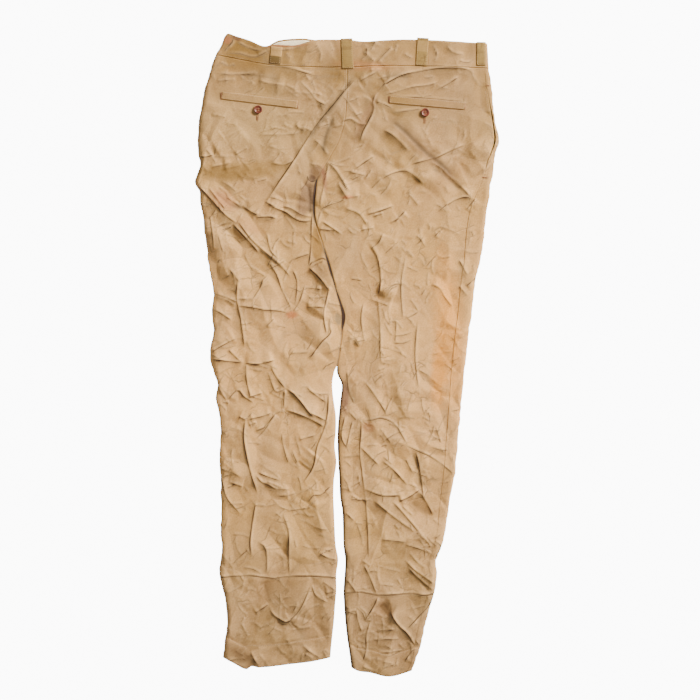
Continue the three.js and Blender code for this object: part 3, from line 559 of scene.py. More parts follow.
CREASES = (
    SEAT_CREASES + BAND_CREASES + SEAM_LINES + SHADES + CROTCH_CREASES
    + LEFT_THIGH_CREASES + LEFT_KNEE_CREASES + LEFT_SHIN_CREASES
    + RIGHT_THIGH_CREASES + RIGHT_KNEE_CREASES + RIGHT_SHIN_CREASES
)
print("creases placed by hand:", len(CREASES))

# %% [markdown]
# Between the drawn creases, worn cotton has hundreds of tiny ones. Drawing those by hand would
# teach nothing, so a seeded random generator scatters them. The seed makes every run the same.

# %% Scatter the tiny creases
SMALL_CREASES = 760
SMALL_LENGTH = (9, 40)
SMALL_SIZE = (0.5, 1.3)
SMALL_PLACES = (-535, 480)
MAIN_TURN = (-45, 38)
CROSS_TURN = (35, 30)
MAIN_SHARE = 0.7
MOST_BEND = 0.25
SEED = 11
dice = random.Random(SEED)
small_creases = []
while len(small_creases) < SMALL_CREASES:
    y = dice.uniform(*SMALL_PLACES)
    side = dice.choice(("left", "right"))
    x = mix(
        float(value_at(SECTIONS, "y", f"{side}_inner", y)),
        float(value_at(SECTIONS, "y", f"{side}_outer", y)),
        dice.random(),
    )
    turn = MAIN_TURN if dice.random() < MAIN_SHARE else CROSS_TURN
    angle = math.radians(dice.gauss(*turn))
    length = dice.uniform(*SMALL_LENGTH)
    bend = dice.uniform(-MOST_BEND, MOST_BEND) * length
    step = (math.cos(angle) * length / 2, math.sin(angle) * length / 2)
    middle = (x - step[1] / length * bend, y + step[0] / length * bend)
    path = [(x - step[0], y - step[1]), middle, (x + step[0], y + step[1])]
    small_creases.append(("tiny", dice.uniform(*SMALL_SIZE), path))
print("tiny creases:", len(small_creases))

# %% [markdown]
# `add_crease` adds one crease to the height of many places at once. It finds how far every place is
# from the line, along and across, and on which side it lies. It also keeps two masks for the
# cloth's colour: a thin dark line of painted shade, with some dirt, at the foot of a fold on its
# dark side, with more painted shade spreading beside it, and a pale line of painted highlight on the
# lit side of its crest.

# %% Height and masks of the creases
# The masks are painted light: shade on the side away from LIT_SIDE, a highlight on the side towards
# it.
LIT_SIDE = (0.8, 0.6)
CREST_ROUND = 0.7
FOLD_END = 0.16
LINE_STEPS = 5
MARK_WIDTH = 1.1
MARK_SHIFT = 0.4
MOST_DARK = 1.15
CREST_WIDTH = 2.2
BACK_REACH = 0.6
RIDGE_WIDTH = 2.2
RIDGE_MOST = 1.2
SHADE_SPREAD_MOST = 1.3
DROP_SHARE = 0.32
SLOPE_POWER = 1.3
NARROWEST = 0.7
LONG_TAPER_POWER = 0.6
SHADE_SPREAD_POWER = 1.5
UNEVEN_MIDDLE = 0.85
UNEVEN_SWING = 0.3
FAR = 1e9


def smooth_path(points):
    rows = np.array(points, dtype=float)
    if len(rows) < 3:
        return rows
    lengths = np.hypot(*np.diff(rows, axis=0).T)
    at = np.concatenate([[0], np.cumsum(lengths)])
    path = {"s": at, "x": rows[:, 0], "y": rows[:, 1]}
    s = np.linspace(0, at[-1], (len(rows) - 1) * LINE_STEPS + 1)
    return np.stack([value_at(path, "s", "x", s), value_at(path, "s", "y", s)], axis=1)


def near_path(path, x, y):
    """Distance from the path, its signed side (lit is positive) and the share of it passed."""
    starts = path[:-1]
    steps = np.diff(path, axis=0)
    lengths = np.hypot(steps[:, 0], steps[:, 1])
    passed = np.concatenate([[0], np.cumsum(lengths)])
    best = np.full(x.shape, FAR)
    lit = np.ones(x.shape)
    share = np.zeros(x.shape)
    for (ax, ay), (dx, dy), length, before in zip(starts, steps, lengths, passed):
        t = np.clip(((x - ax) * dx + (y - ay) * dy) / length**2, 0, 1)
        off_x = x - ax - t * dx
        off_y = y - ay - t * dy
        distance = np.hypot(off_x, off_y)
        closer = distance < best
        turned = np.sign(-dy * LIT_SIDE[0] + dx * LIT_SIDE[1]) or 1
        best = np.where(closer, distance, best)
        lit = np.where(closer, np.sign(-dy * off_x + dx * off_y) * turned, lit)
        share = np.where(closer, (before + t * length) / passed[-1], share)
    return best, lit, share


def slope(distance, reach, power=SLOPE_POWER):
    """1 on the line, falling to 0 at the reach, and rounded on the line itself."""
    rounded = np.hypot(distance, CREST_ROUND) - CREST_ROUND
    return np.clip(1 - rounded / reach, 0, 1) ** power


def uneven_at(share, number):
    """Two slow waves along a crease, other ones for each number, so that its strength varies."""
    waves_together = np.sin(share * 9 + number * 1.7) * np.sin(share * 4 + number)
    return UNEVEN_MIDDLE + UNEVEN_SWING * waves_together


def add_crease(number, crease, x, y, height, dark, pale):
    kind, size, points = crease
    look = KINDS[kind]
    path = smooth_path(points)
    widest = mix(NARROWEST, 1, size)
    reach = max(look["lit"], look["shade"] * 3) * widest
    low = path.min(axis=0) - reach
    high = path.max(axis=0) + reach
    near = np.nonzero((x > low[0]) & (x < high[0]) & (y > low[1]) & (y < high[1]))[0]
    if not len(near):
        return
    distance, lit, share = near_path(path, x[near], y[near])

    # Along the line: it fades at both ends and is uneven between them.
    taper = ease(np.minimum(share, 1 - share) / FOLD_END)
    long_taper = taper**LONG_TAPER_POWER
    uneven = uneven_at(share, number)

    # Across the line: a long slope on the lit side, a short drop in a longer one on the other.
    lit_slope = slope(distance, look["lit"] * widest)
    back_slope = slope(distance, max(look["lit"] * BACK_REACH, look["shade"]) * widest)
    drop = slope(distance, look["shade"] * widest, 2)
    fall = np.where(lit > 0, lit_slope, mix(back_slope, drop, DROP_SHARE))
    height[near] += look["rise"] * size * taper * uneven * fall
    ridge = look["ridge"] * min(size, RIDGE_MOST) * uneven * long_taper
    height[near] += ridge * bell(distance / RIDGE_WIDTH)

    # The masks: painted shade and dirt in a line at the fold's foot, painted highlight on the lit
    # side of its crest, and painted shade beside it.
    signed = distance * np.where(lit > 0, 1, -1)
    strength = np.minimum(look["mark"] * min(size, MOST_DARK) * uneven, MOST_DARK)
    line = strength * bell((signed + look["shade"] * MARK_SHIFT) / MARK_WIDTH) * long_taper
    crest = strength * bell((signed - CREST_WIDTH) / CREST_WIDTH) * taper
    painted_shade = look["shade_spread"] * min(size, SHADE_SPREAD_MOST) * taper
    painted_shade *= np.where(lit > 0, 0, back_slope) if look["rise"] > 0 else fall**SHADE_SPREAD_POWER
    dark[near] = np.maximum(dark[near], np.maximum(line, painted_shade))
    pale[near] = np.maximum(pale[near], crest)


# %% [markdown]
# ## How the cloth lies
# The back lies a few millimetres above the front, on a cushion of trapped cloth and air, and rounds
# down to the side seam at its edges. Where the legs touch, the left one is tucked a little under
# the right one. `SLIT` says how wide and how dark the painted shadow in the line between them is.
# Where they part, painted shadow darkens the right leg's inner edge.

# %% Levels and edges
LAY = 7.1
LOWEST_LAY = 3.5
LOW_ROOM = 2.1
HIGHEST_LAY = 15.5
HIGH_ROOM = 3
SEAM_LEVEL = 2.7
SEAM_GAP = 0.3
SEW_GAP = 0.06
EDGE_ROUND = 9
RIPPLE = 1.1
RIPPLE_SIZES = (14, 5.5)
SMALL_RIPPLE = 0.6
RIPPLE_SEED = {"left": 2.5, "right": 8.5}
UNDER_ROUND = 4
LEG_EDGE_START = 306
LEG_EDGE_FULL = 278
TOUCH_END = -24
TOUCH_EASE = 10
CROTCH_LEAD = 8
CROTCH_EASE = 20
TOUCH_ROUND = 3.2
TUCK = 2.6
SLIT = table(("y", "width", "dark"), [
    (306, 0.9, 0.8), (290, 1.3, 1.15), (250, 1.1, 1.1), (232, 0.9, 0.8), (215, 0.8, 0.25),
    (198, 0.8, 0.4), (180, 0.9, 0.8), (162, 1.8, 1.25), (140, 1.9, 1.3), (128, 1.0, 1.05),
    (110, 1.0, 1.05), (96, 1.8, 1.25), (68, 3.2, 1.5), (52, 2.6, 1.4), (40, 1.0, 0.7),
    (20, 0.9, 0.45), (-24, 1.0, 0.6),
])
# Painted shadow along the right leg's inner edge, where the legs part.
EDGE_DARK = 0.95
EDGE_DARK_REACH = 4
WAVE_HEIGHT = 1.6
WAVE_SIZE = 95
WAVE_SEED = 3.1
print("the back lies", LAY, "mm above the table")

# %% [markdown]
# Crushed cotton isn't smooth between its folds. It breaks into flat facets that meet in crisp
# lines. The distance to the border of a Voronoi cell has that shape, and Blender's `noise` module
# gives it to Python too. Three sizes lie over each other, stronger in some patches than in others.

# %% Crumpled facets
CRUMPLES = [
    # rise, size of a facet, stretch, turn in degrees, seed, whether its lines are crests
    (13, 92, 1.8, 68, 4.2, True),
    (7.0, 52, 1.6, -44, 9.1, False),
    (2.0, 25, 1.6, 55, 1.6, True),
]
LINE_WIDTH = 1.0
CRUMPLE_BEND = 0.3
BEND_SIZE = 1.6
FACET_ROUND = 0.8
FACET_TOP = 0.55
FACET_MEAN = 0.24
PATCH_SIZE = 2.6
PATCH_LEAST = 0.25
PATCH_CONTRAST = 1.7
QUIET_PLACES = [
    # centre x and y, reach x and y, how much of the crumple stays in its middle
    (-150, 400, 90, 75, 0.35),
    (140, 395, 95, 60, 0.35),
    (120, 60, 75, 150, 0.4),
    (-110, 195, 42, 45, 0.45),
    (-75, -300, 45, 60, 0.6),
    (120, -110, 50, 60, 0.45),
]


def waves(x, y, size, seed):
    return np.array([noise.noise(Vector((a / size, b / size, seed))) for a, b in zip(x, y)])


def to_border(x, y, size, seed):
    """How far each place is from the nearest border of a facet, in facet sizes."""
    nearest = [noise.voronoi(Vector((a / size, b / size, seed)))[0][:2] for a, b in zip(x, y)]
    nearest = np.array(nearest)
    return nearest[:, 1] - nearest[:, 0]


def crumple(x, y):
    """Facets that meet in crisp lines, as crushed cotton does, stronger in some patches."""
    height = np.zeros(x.shape)
    valley = np.zeros(x.shape)
    crest = np.zeros(x.shape)
    for rise, size, stretch, turn, seed, crests in CRUMPLES:
        a = math.radians(turn)
        bend = CRUMPLE_BEND * size * waves(x, y, size * BEND_SIZE, seed + 3)
        along = (x * math.cos(a) + y * math.sin(a) + bend) / stretch
        across = -x * math.sin(a) + y * math.cos(a) - bend
        border = to_border(along, across, size, seed)
        cloud = waves(x, y, size * PATCH_SIZE, seed + 7)
        patch = mix(PATCH_LEAST, 1, ease(0.5 + PATCH_CONTRAST * cloud))
        rounded = np.sqrt(border**2 + (FACET_ROUND / size) ** 2)
        facet = np.minimum(rounded, FACET_TOP) - FACET_MEAN
        height += rise * patch * facet * (-1 if crests else 1)
        # The facet lines also paint the colour: shade in the valleys and a highlight on the crests.
        line = bell(border * size / LINE_WIDTH) * patch * min(1, rise)
        if crests:
            crest = np.maximum(crest, line)
        else:
            valley = np.maximum(valley, line)
    share = np.ones(x.shape)
    for qx, qy, rx, ry, stays in QUIET_PLACES:
        away = np.hypot((x - qx) / rx, (y - qy) / ry)
        share *= mix(stays, 1, ease(away * 1.3 - 0.3))
    return height * share, valley * share, crest * share


# %% [markdown]
# Belt loops, pocket welts and buttons are sewn on, and hold the cloth under them flat. They are
# listed here with the middle of each end. A strip's bands are the parts of its length that are
# darker or, where negative, paler. `calm_at` makes all creases fade near these pieces.

# %% Sewn strips and buttons
STRIPS = {
    "loop_center_back": {
        "start": (-1, 538), "end": (1, 486), "width": 20,
        "bands": [(0.6, 0.75, 0.3), (-0.1, 0.06, 0.4)],
    },
    "loop_back_left": {
        "start": (-119.5, 523.5), "end": (-123, 494), "width": 20,
        "bands": [(-0.1, 0.42, 0.55), (0.44, 1.1, -0.8), (0.4, 0.47, 0.7)],
    },
    "loop_back_right": {
        "start": (129, 539), "end": (126, 491), "width": 20,
        "bands": [(0.5, 0.9, -0.35), (0.14, 0.2, 0.35), (-0.1, 0.08, 0.4)],
    },
    "loop_side_right": {
        "start": (228, 532), "end": (227.5, 491.5), "width": 16,
        "bands": [(-0.1, 0.12, 0.35), (0.5, 0.62, 0.3)],
    },
    "welt_left": {"start": (-213, 441), "end": (-84, 425), "width": 13},
    "welt_right": {"start": (72, 434), "end": (200, 423), "width": 13},
}
BUTTONS = {"button_left": (-151, 417), "button_right": (133, 412)}
BUTTON_RADIUS = 7.2
CALM_REACH = 22
CALM_SHARE = 0.25


def calm_at(x, y):
    nearest = np.full(x.shape, FAR)
    for strip in STRIPS.values():
        path = np.array([strip["start"], strip["end"]], dtype=float)
        nearest = np.minimum(nearest, near_path(path, x, y)[0] - strip["width"] / 2)
    for bx, by in BUTTONS.values():
        nearest = np.minimum(nearest, np.hypot(x - bx, y - by) - BUTTON_RADIUS)
    return mix(CALM_SHARE, 1, ease(nearest / CALM_REACH))


# %% [markdown]
# The height of the upper layer adds it all up: the drawn creases, the tiny ones, the facets, and a
# slow, low wave that keeps the plain stretches from looking ironed.

# %% The height of the upper layer
# How dark the painted shade in the facets' valleys is, and how the painted highlight is made up,
# over a plain lightening everywhere.
VALLEY_DARK = 0.34
PALE = {"plain": 0.15, "crease": 0.4, "facet": 0.1, "height": 0.05}


def lay_of(x, y):
    """Height of the upper layer and the crease masks at many places."""
    height = np.zeros(x.shape)
    dark = np.zeros(x.shape)
    pale = np.zeros(x.shape)
    for number, crease in enumerate(CREASES + small_creases):
        add_crease(number, crease, x, y, height, dark, pale)
    facets, valley, crest = crumple(x, y)
    height = (height + facets) * calm_at(x, y)
    # Painted shade in the facets' valleys; painted highlight from crease crests, facet crests and
    # higher cloth.
    dark = np.maximum(dark, VALLEY_DARK * valley)
    painted_highlight = PALE["crease"] * pale + PALE["facet"] * crest + PALE["height"] * height
    pale = np.clip(painted_highlight + PALE["plain"], 0, 1)
    lay = LAY + height + WAVE_HEIGHT * waves(x, y, WAVE_SIZE, WAVE_SEED)
    # Near its lowest and highest levels the cloth levels out instead of going through them.
    low = LOWEST_LAY + LOW_ROOM
    lay = np.where(lay < low, LOWEST_LAY + LOW_ROOM * np.exp((lay - low) / LOW_ROOM), lay)
    high = HIGHEST_LAY - HIGH_ROOM
    lay = np.where(lay > high, HIGHEST_LAY - HIGH_ROOM * np.exp((high - lay) / HIGH_ROOM), lay)
    return lay, dark, pale


thigh = lay_of(np.array([-150.0, 120.0]), np.array([160.0, 160.0]))[0]
print("height at the middle of each thigh:", thigh.round(1), "mm")

# %% [markdown]
# ## Edges
# `upper_points` and `under_points` place the two layers. At an edge a layer turns over in a
# quarter of an ellipse, and both meet at the level of the side seam, as a real leg does when it
# lies flat. The inner leg edge only exists below the crotch, so it is eased in there.

# %% Points of the two layers
def ripple(y, seed):
    """Small unevenness of an edge, in mm: a longer ripple and a shorter, weaker one."""
    long, short = RIPPLE_SIZES
    waves_of_edge = [
        noise.noise(Vector((h / long, seed, 0)))
        + SMALL_RIPPLE * noise.noise(Vector((h / short, seed, 5)))
        for h in y
    ]
    return RIPPLE * np.array(waves_of_edge)


def edges_at(side, y):
    outer = value_at(SECTIONS, "y", f"{side}_outer", y) + ripple(y, RIPPLE_SEED[side])
    half = (-SEW_GAP if side == "left" else SEW_GAP) / 2
    inner = value_at(SECTIONS, "y", f"{side}_inner", y) + half
    seam = outer if side == "left" else value_at(SECTIONS, "y", "right_seam", y)
    leg_edge = ease((LEG_EDGE_START - y) / (LEG_EDGE_START - LEG_EDGE_FULL))
    if side == "left":
        inner = inner + TUCK * legs_touch(y)
    return outer, inner, seam, leg_edge


def legs_touch(y):
    """1 where the two legs lie against each other below the crotch, 0 elsewhere."""
    below_crotch = ease((LEG_EDGE_START + CROTCH_LEAD - y) / CROTCH_EASE)
    return ease((y - TOUCH_END) / TOUCH_EASE) * below_crotch


def round_off(distance, radius):
    share = np.clip(distance / radius, 0, 1)
    return np.sqrt(np.maximum(0, 1 - (1 - share) ** 2))


def upper_points(side, x, y, lift=0.0):
    """Points on the upper layer, lifted off it, with the crease masks."""
    outer, inner, _, leg_edge = edges_at(side, y)
    to_outer = np.abs(outer - x)
    to_inner = np.abs(x - inner)
    touch = legs_touch(y)
    inner_round = mix(EDGE_ROUND, TOUCH_ROUND, touch)
    share = round_off(to_outer, EDGE_ROUND) * mix(1, round_off(to_inner, inner_round), leg_edge)
    lay, dark, pale = lay_of(x, y)
    seen = np.maximum(to_inner - (TUCK * touch if side == "left" else 0), 0)
    # The slit between the touching legs gets a line of painted shadow.
    slit = value_at(SLIT, "y", "dark", y) * touch
    slit *= bell(seen / value_at(SLIT, "y", "width", y))
    dark = np.maximum(dark, slit)
    # Below that, painted shadow darkens the right leg's inner edge.
    if side == "right":
        edge = EDGE_DARK * leg_edge * (1 - touch) * bell(seen / EDGE_DARK_REACH)
        dark = np.maximum(dark, edge)
    seam_top = SEAM_LEVEL + SEAM_GAP / 2
    z = seam_top + (lay + lift - seam_top) * share
    return np.stack([x, y, z], axis=1), dark, pale


def under_points(side, x, y):
    """Points on the under layer's flat outer face."""
    outer, inner, _, leg_edge = edges_at(side, y)
    to_outer = np.abs(outer - x)
    to_inner = np.abs(x - inner)
    share = round_off(to_outer, UNDER_ROUND) * mix(1, round_off(to_inner, UNDER_ROUND), leg_edge)
    seam_under = SEAM_LEVEL - SEAM_GAP / 2
    return np.stack([x, y, mix(seam_under, 0, share)], axis=1)


# %% [markdown]
# ## A piece of cloth
# Every panel starts as `bmesh.ops.create_grid`: a flat sheet of square faces, like cloth on the
# cutting table. A function then moves its points to where the sewn panel lies. The grid's own
# coordinates, from 0 to 1 each way, say which column and row a point belongs to. A Solidify
# modifier gives the sheet its thickness, inwards, so the outer face stays where it was placed.

# %% Make a mesh object from a bmesh
collection = bpy.context.scene.collection
CLOTH_THICKNESS = 0.9


def finish_mesh(name, bm):
    mesh = bpy.data.meshes.new(name)
    bm.to_mesh(mesh)
    bm.free()
    for polygon in mesh.polygons:
        polygon.use_smooth = True
    obj = bpy.data.objects.new(name, mesh)
    collection.objects.link(obj)
    return obj


def add_values(obj, name, values):
    attribute = obj.data.attributes.new(name, "FLOAT", "POINT")
    attribute.data.foreach_set("value", np.asarray(values, dtype=np.float32))


def cloth_piece(name, columns, rows, place, thickness=CLOTH_THICKNESS, rim_only=False):
    """A grid of cloth. place(u, v) gives the points in mm and the two crease masks."""
    bm = bmesh.new()
    bmesh.ops.create_grid(bm, x_segments=columns, y_segments=rows, size=1)
    uv = np.array([(v.co.x, v.co.y) for v in bm.verts]) / 2 + 0.5
    obj = finish_mesh(name, bm)
    points, dark, pale = place(uv[:, 0], uv[:, 1])
    obj.data.vertices.foreach_set("co", (points * MM).ravel())
    layer = obj.data.uv_layers.new(name="Cloth")
    loops = np.zeros(len(obj.data.loops), dtype=np.int32)
    obj.data.loops.foreach_get("vertex_index", loops)
    layer.data.foreach_set("uv", (points[loops, :2] * MM).ravel().astype(np.float32))
    # The crease attribute holds the dark mask, mostly painted shade with some dirt and the strips'
    # darker bands; the crest attribute holds painted highlight and the strips' paler bands.
    add_values(obj, "crease", dark)
    add_values(obj, "crest", pale)
    obj.data.update()
    solid = obj.modifiers.new("Thickness", "SOLIDIFY")
    solid.thickness = thickness * MM
    solid.offset = -1
    solid.use_rim_only = rim_only
    print(name, len(obj.data.polygons), "faces")
    return obj


# %% [markdown]
# ## Back panels
# The backs carry nearly all that shows. Their rows bend near the top to meet the waistband's seam,
# and near the bottom to follow the hem. A face every 1.7 mm is fine enough for the sharpest crease.
# So many faces are only made once: Solidify gives these sheets their rim alone, because the inner
# side of the back is never seen.

# %% Rows that bend to the waist and hem
FACE = 1.65
HEM_HEIGHT = 38
HEM_STEP = 0.7
HEM_STEP_WIDTH = 2.5
HEM_GROOVE = 0.5
HEM_GROOVE_WIDTH = 1.8
HEM_EDGE_SHARE = 0.04
CLOSE_BOTH = 0.12
CLOSE_SEAM = 0.06
CLOSE_UNDER = 0.5
WAIST_EASE_END = 425
HEM_EASE_START = -468


def bent_height(side, x, level):
    waist_share = np.clip((level - WAIST_EASE_END) / (WAIST_SEAM - WAIST_EASE_END), 0, 1)
    hem_share = np.clip((HEM_EASE_START - level) / (HEM_EASE_START - HEM_LEVEL[side]), 0, 1)
    waist = value_at(WAIST_SEAM_LINE, "x", "y", x) - WAIST_SEAM
    hem = value_at(HEM_LINE[side], "x", "y", x) - HEM_LEVEL[side]
    return level + waist_share * waist + hem_share * hem


def panel_places(side, level, across):
    y = level
    for _ in range(3):
        y = bent_height(side, across(y), level)
    return across(y), y


def edge_close(u, amount):
    """Move column shares closer together near both edges, where the cloth turns."""
    return u - amount / (2 * np.pi) * np.sin(2 * np.pi * u)


def hem_fold(side, y, x):
    """The turned-in hem is twice as thick: a low step up to its stitch line."""
    line = value_at(HEM_LINE[side], "x", "y", x) + HEM_HEIGHT
    groove = HEM_GROOVE * bell((y - line) / HEM_GROOVE_WIDTH)
    return HEM_STEP * ease((line - y) / HEM_STEP_WIDTH) - groove


def back_place(side):
    def place(u, v):
        level = mix(HEM_LEVEL[side], WAIST_SEAM, v)

        def across(y):
            outer, inner, seam, _ = edges_at(side, y)
            if side == "left":
                return mix(outer, inner, edge_close(u, CLOSE_BOTH))
            return mix(inner, seam - SEW_GAP / 2, edge_close(u, CLOSE_SEAM))

        x, y = panel_places(side, level, across)
        points, dark, pale = upper_points(side, x, y)
        points[:, 2] += hem_fold(side, y, x) * round_off(np.minimum(u, 1 - u), HEM_EDGE_SHARE)
        return points, dark, pale
    return place


BACK_ROWS = round((WAIST_SEAM - HEM_LEVEL["right"]) / FACE)
BACK_COLUMNS = 146
back_left = cloth_piece(
    "back_left_cloth", BACK_COLUMNS, BACK_ROWS, back_place("left"), rim_only=True
)
back_right = cloth_piece(
    "back_right_cloth", BACK_COLUMNS, BACK_ROWS, back_place("right"), rim_only=True
)

# %% [markdown]
# ## Front panels
# The fronts lie on the table, flat and out of sight, so the left one's grid is coarse. The right one
# is rolled round the edge of the leg onto the back, where it shows, so its rows are as fine as the
# back's. Its columns run from the visible side seam over the edge and then underneath. The pocket's
# mouth is a gap between it and the back.

# %% Fronts
POCKET_MOUTH_TOP = 455
POCKET_MOUTH_END = 303
POCKET_MOUTH_WIDTH = 3


def mouth_at(y):
    share = np.clip((POCKET_MOUTH_TOP - y) / (POCKET_MOUTH_TOP - POCKET_MOUTH_END), 0, 1)
    return POCKET_MOUTH_WIDTH * np.sin(np.pi * share)


def front_left_place(u, v):
    level = mix(HEM_LEVEL["left"], WAIST_SEAM, v)

    def across(y):
        outer, inner, _, _ = edges_at("left", y)
        return mix(inner, outer, edge_close(u, CLOSE_UNDER))

    x, y = panel_places("left", level, across)
    none = np.zeros(x.shape)
    return under_points("left", x, y), none, none


OVER_SHARE = 0.4
SEAM_LAP = 0.5
ROLL_LIFT = 0.25
ROLL_CLOSE = 1.6
ROLL_HEM_SHARE = 0.3


def front_right_place(u, v):
    level = mix(HEM_LEVEL["right"], WAIST_SEAM, v)
    over = u <= OVER_SHARE
    over_share = np.clip(u / OVER_SHARE, 0, 1)
    under_share = np.clip((u - OVER_SHARE) / (1 - OVER_SHARE), 0, 1)

    def across(y):
        outer, inner, seam, _ = edges_at("right", y)
        start = seam + mouth_at(y) - SEAM_LAP
        return np.where(
            over,
            mix(start, outer, 1 - (1 - over_share) ** ROLL_CLOSE),
            mix(outer, inner, edge_close(under_share, CLOSE_UNDER)),
        )

    x, y = panel_places("right", level, across)
    points, dark, pale = upper_points("right", x, y)
    hem = hem_fold("right", y, x) * round_off(1 - over_share, ROLL_HEM_SHARE)
    points[:, 2] += ROLL_LIFT + hem
    under = under_points("right", x, y)
    return np.where(over[:, None], points, under), dark * over, pale * over


front_left = cloth_piece("front_left_cloth", 44, 210, front_left_place)
front_right = cloth_piece(
    "front_right_cloth", 62, BACK_ROWS, front_right_place, rim_only=True
)

# %% [markdown]
# ## Waistband
# A waistband is one long strip, folded double, which stands a little proud of the panels because
# four layers of cloth meet in it. Each half runs from the centre back, round the side, to the
# centre front underneath. The back's edge sinks at the left, which shows the pale lining inside.

# %% Waistband halves and lining
BAND_PROUD = 0.5
BAND_GAP = 0.05
BAND_ROLL = 0.45
BAND_CLOSE = 1.15
BAND_TOP_SHARE = 0.06
BAND_LOW_SHARE = 0.05
BAND_THICKNESS = 1.5
BAND_MIDDLE = 512.0


def band_place(side):
    way = -1 if side == "left" else 1
    half = way * SEAM_GAP / 2
    over_first = side == "right"

    def place(u, v):
        run = u if over_first else 1 - u
        over = run <= 0.5
        over_share = 1 - (1 - np.clip(run * 2, 0, 1)) ** BAND_CLOSE
        under_share = np.clip(run * 2 - 1, 0, 1)

        def across(y):
            outer = value_at(SECTIONS, "y", f"{side}_outer", y)
            return np.where(over, mix(half, outer, over_share), mix(outer, half, under_share))

        y = np.full(u.shape, BAND_MIDDLE)
        for _ in range(4):
            x = across(y)
            low = value_at(WAIST_SEAM_LINE, "x", "y", x) + BAND_GAP
            back_edge = value_at(BACK_BAND_EDGE, "x", "y", x)
            front_edge = value_at(FRONT_BAND_EDGE, "x", "y", x)
            y = mix(low, np.where(over, back_edge, front_edge), v)
        x = across(y)
        points, dark, pale = upper_points(side, x, y, BAND_PROUD)
        rolled = np.minimum(round_off(1 - v, BAND_TOP_SHARE), round_off(v, BAND_LOW_SHARE))
        points[:, 2] -= BAND_ROLL * (1 - rolled) * over
        under = under_points(side, x, y)
        return np.where(over[:, None], points, under), dark * over, pale * over
    return place


band_left = cloth_piece("waistband_left_cloth", 200, 26, band_place("left"), BAND_THICKNESS)
band_right = cloth_piece("waistband_right_cloth", 200, 26, band_place("right"), BAND_THICKNESS)

LINING = {
    "start": -192, "end": -20, "low": 497, "above_seam": 2, "below": 3.6, "level": 4.2,
    "wave": 0.5, "wave_size": 12,
}


def lining_place(u, v):
    x = mix(LINING["start"], LINING["end"], u)
    top = value_at(FRONT_BAND_EDGE, "x", "y", x) - LINING["below"]
    seam = value_at(WAIST_SEAM_LINE, "x", "y", x)
    low = np.maximum(LINING["low"], seam + LINING["above_seam"])
    y = mix(low, top, v)
    z = LINING["level"] + LINING["wave"] * waves(x, y, LINING["wave_size"], 2.2)
    none = np.zeros(x.shape)
    return np.stack([x, y, z], axis=1), none, none


lining = cloth_piece("waistband_lining_cloth", 90, 18, lining_place, 0.8)

# %% [markdown]
# ## Hidden facings
# Two small pieces lie between the layers: the strip behind the pocket's mouth, which shows through
# the gap, and the underlap that closes the fly from inside. They stay plain.

# %% Pocket facing and fly underlap
FACING_WIDTH = 24
FACING_ROOM = {"top": 4, "bottom": 6}
BETWEEN = 2.7
FLY = {"top": 482, "bottom": 325, "left": 16, "right": 24}


def facing_place(u, v):
    low = POCKET_MOUTH_END + FACING_ROOM["bottom"]
    y = mix(low, POCKET_MOUTH_TOP - FACING_ROOM["top"], v)
    seam = value_at(SECTIONS, "y", "right_seam", y)
    x = mix(seam - FACING_WIDTH, seam + mouth_at(y) / 2, u)
    none = np.zeros(x.shape)
    return np.stack([x, y, np.full(x.shape, BETWEEN)], axis=1), none, none


def fly_place(u, v):
    y = mix(FLY["bottom"], FLY["top"], v)
    centre = value_at(SECTIONS, "y", "left_inner", y)
    x = centre + mix(-FLY["left"], FLY["right"], u)
    none = np.zeros(x.shape)
    return np.stack([x, y, np.full(x.shape, BETWEEN)], axis=1), none, none


facing = cloth_piece("pocket_facing_cloth", 8, 44, facing_place, 1.0)
fly = cloth_piece("fly_underlap_cloth", 12, 44, fly_place, 1.0)

# %% [markdown]
# ## Belt loops and pocket welts
# A belt loop is a folded strip, stitched down at both ends. A welt is the folded lip of the hip
# pocket. Both are narrow strips that follow the surface below: their points are the panel's own,
# lifted by a thickness that rounds off at the edges.

# %% Strips on the surface
STRIP_LOOK = {
    "loop": {"lift": 1.5, "edge": 1.1, "bulge": 0.4, "columns": 22},
    "welt": {"lift": 1.3, "edge": 0.9, "bulge": 0.25, "columns": 18},
}
EDGE_LIFT = 0.3
EDGE_FALL = 0.7
STRIP_MASKS = {"dark": 0.3, "pale": 0.2}
BAND_SOFT = 0.03
STRIP_FACE = 0.9


def surface_at(x, y, lift):
    left, dark, pale = upper_points("left", x, y, lift)
    right, _, _ = upper_points("right", x, y, lift)
    return np.where((x < 0)[:, None], left, right), dark, pale


def strip_place(strip, look):
    start = np.array(strip["start"], dtype=float)
    end = np.array(strip["end"], dtype=float)
    length = np.hypot(*(end - start))
    along = (end - start) / length

    def place(u, v):
        side = (u - 0.5) * strip["width"]
        down = (1 - v) * length
        x = start[0] + along[0] * down - along[1] * side
        y = start[1] + along[1] * down + along[0] * side
        to_side = np.minimum(u, 1 - u) * strip["width"]
        to_end = np.minimum(v, 1 - v) * length
        rolled = round_off(to_side, look["edge"]) * round_off(to_end, look["edge"])
        bulge = look["bulge"] * np.sin(np.pi * u) * np.sin(np.pi * v)
        points, dark, pale = surface_at(x, y, look["lift"] + bulge)
        points[:, 2] -= (look["lift"] - EDGE_LIFT) * EDGE_FALL * (1 - rolled)
        dark = dark * STRIP_MASKS["dark"]
        pale = pale * STRIP_MASKS["pale"]
        for low, high, shade in strip.get("bands", ()):
            inside = ease((v - low) / BAND_SOFT) * ease((high - v) / BAND_SOFT)
            dark = np.maximum(dark, shade * inside)
            pale = np.maximum(pale, -shade * inside)
        return points, dark, pale
    return place


strips = {}
for name, strip in STRIPS.items():
    look = STRIP_LOOK["loop" if name.startswith("loop") else "welt"]
    rows = round(math.dist(strip["start"], strip["end"]) / STRIP_FACE)
    place = strip_place(strip, look)
    strips[name] = cloth_piece(f"{name}_cloth", look["columns"], rows, place, look["lift"] * 0.5)

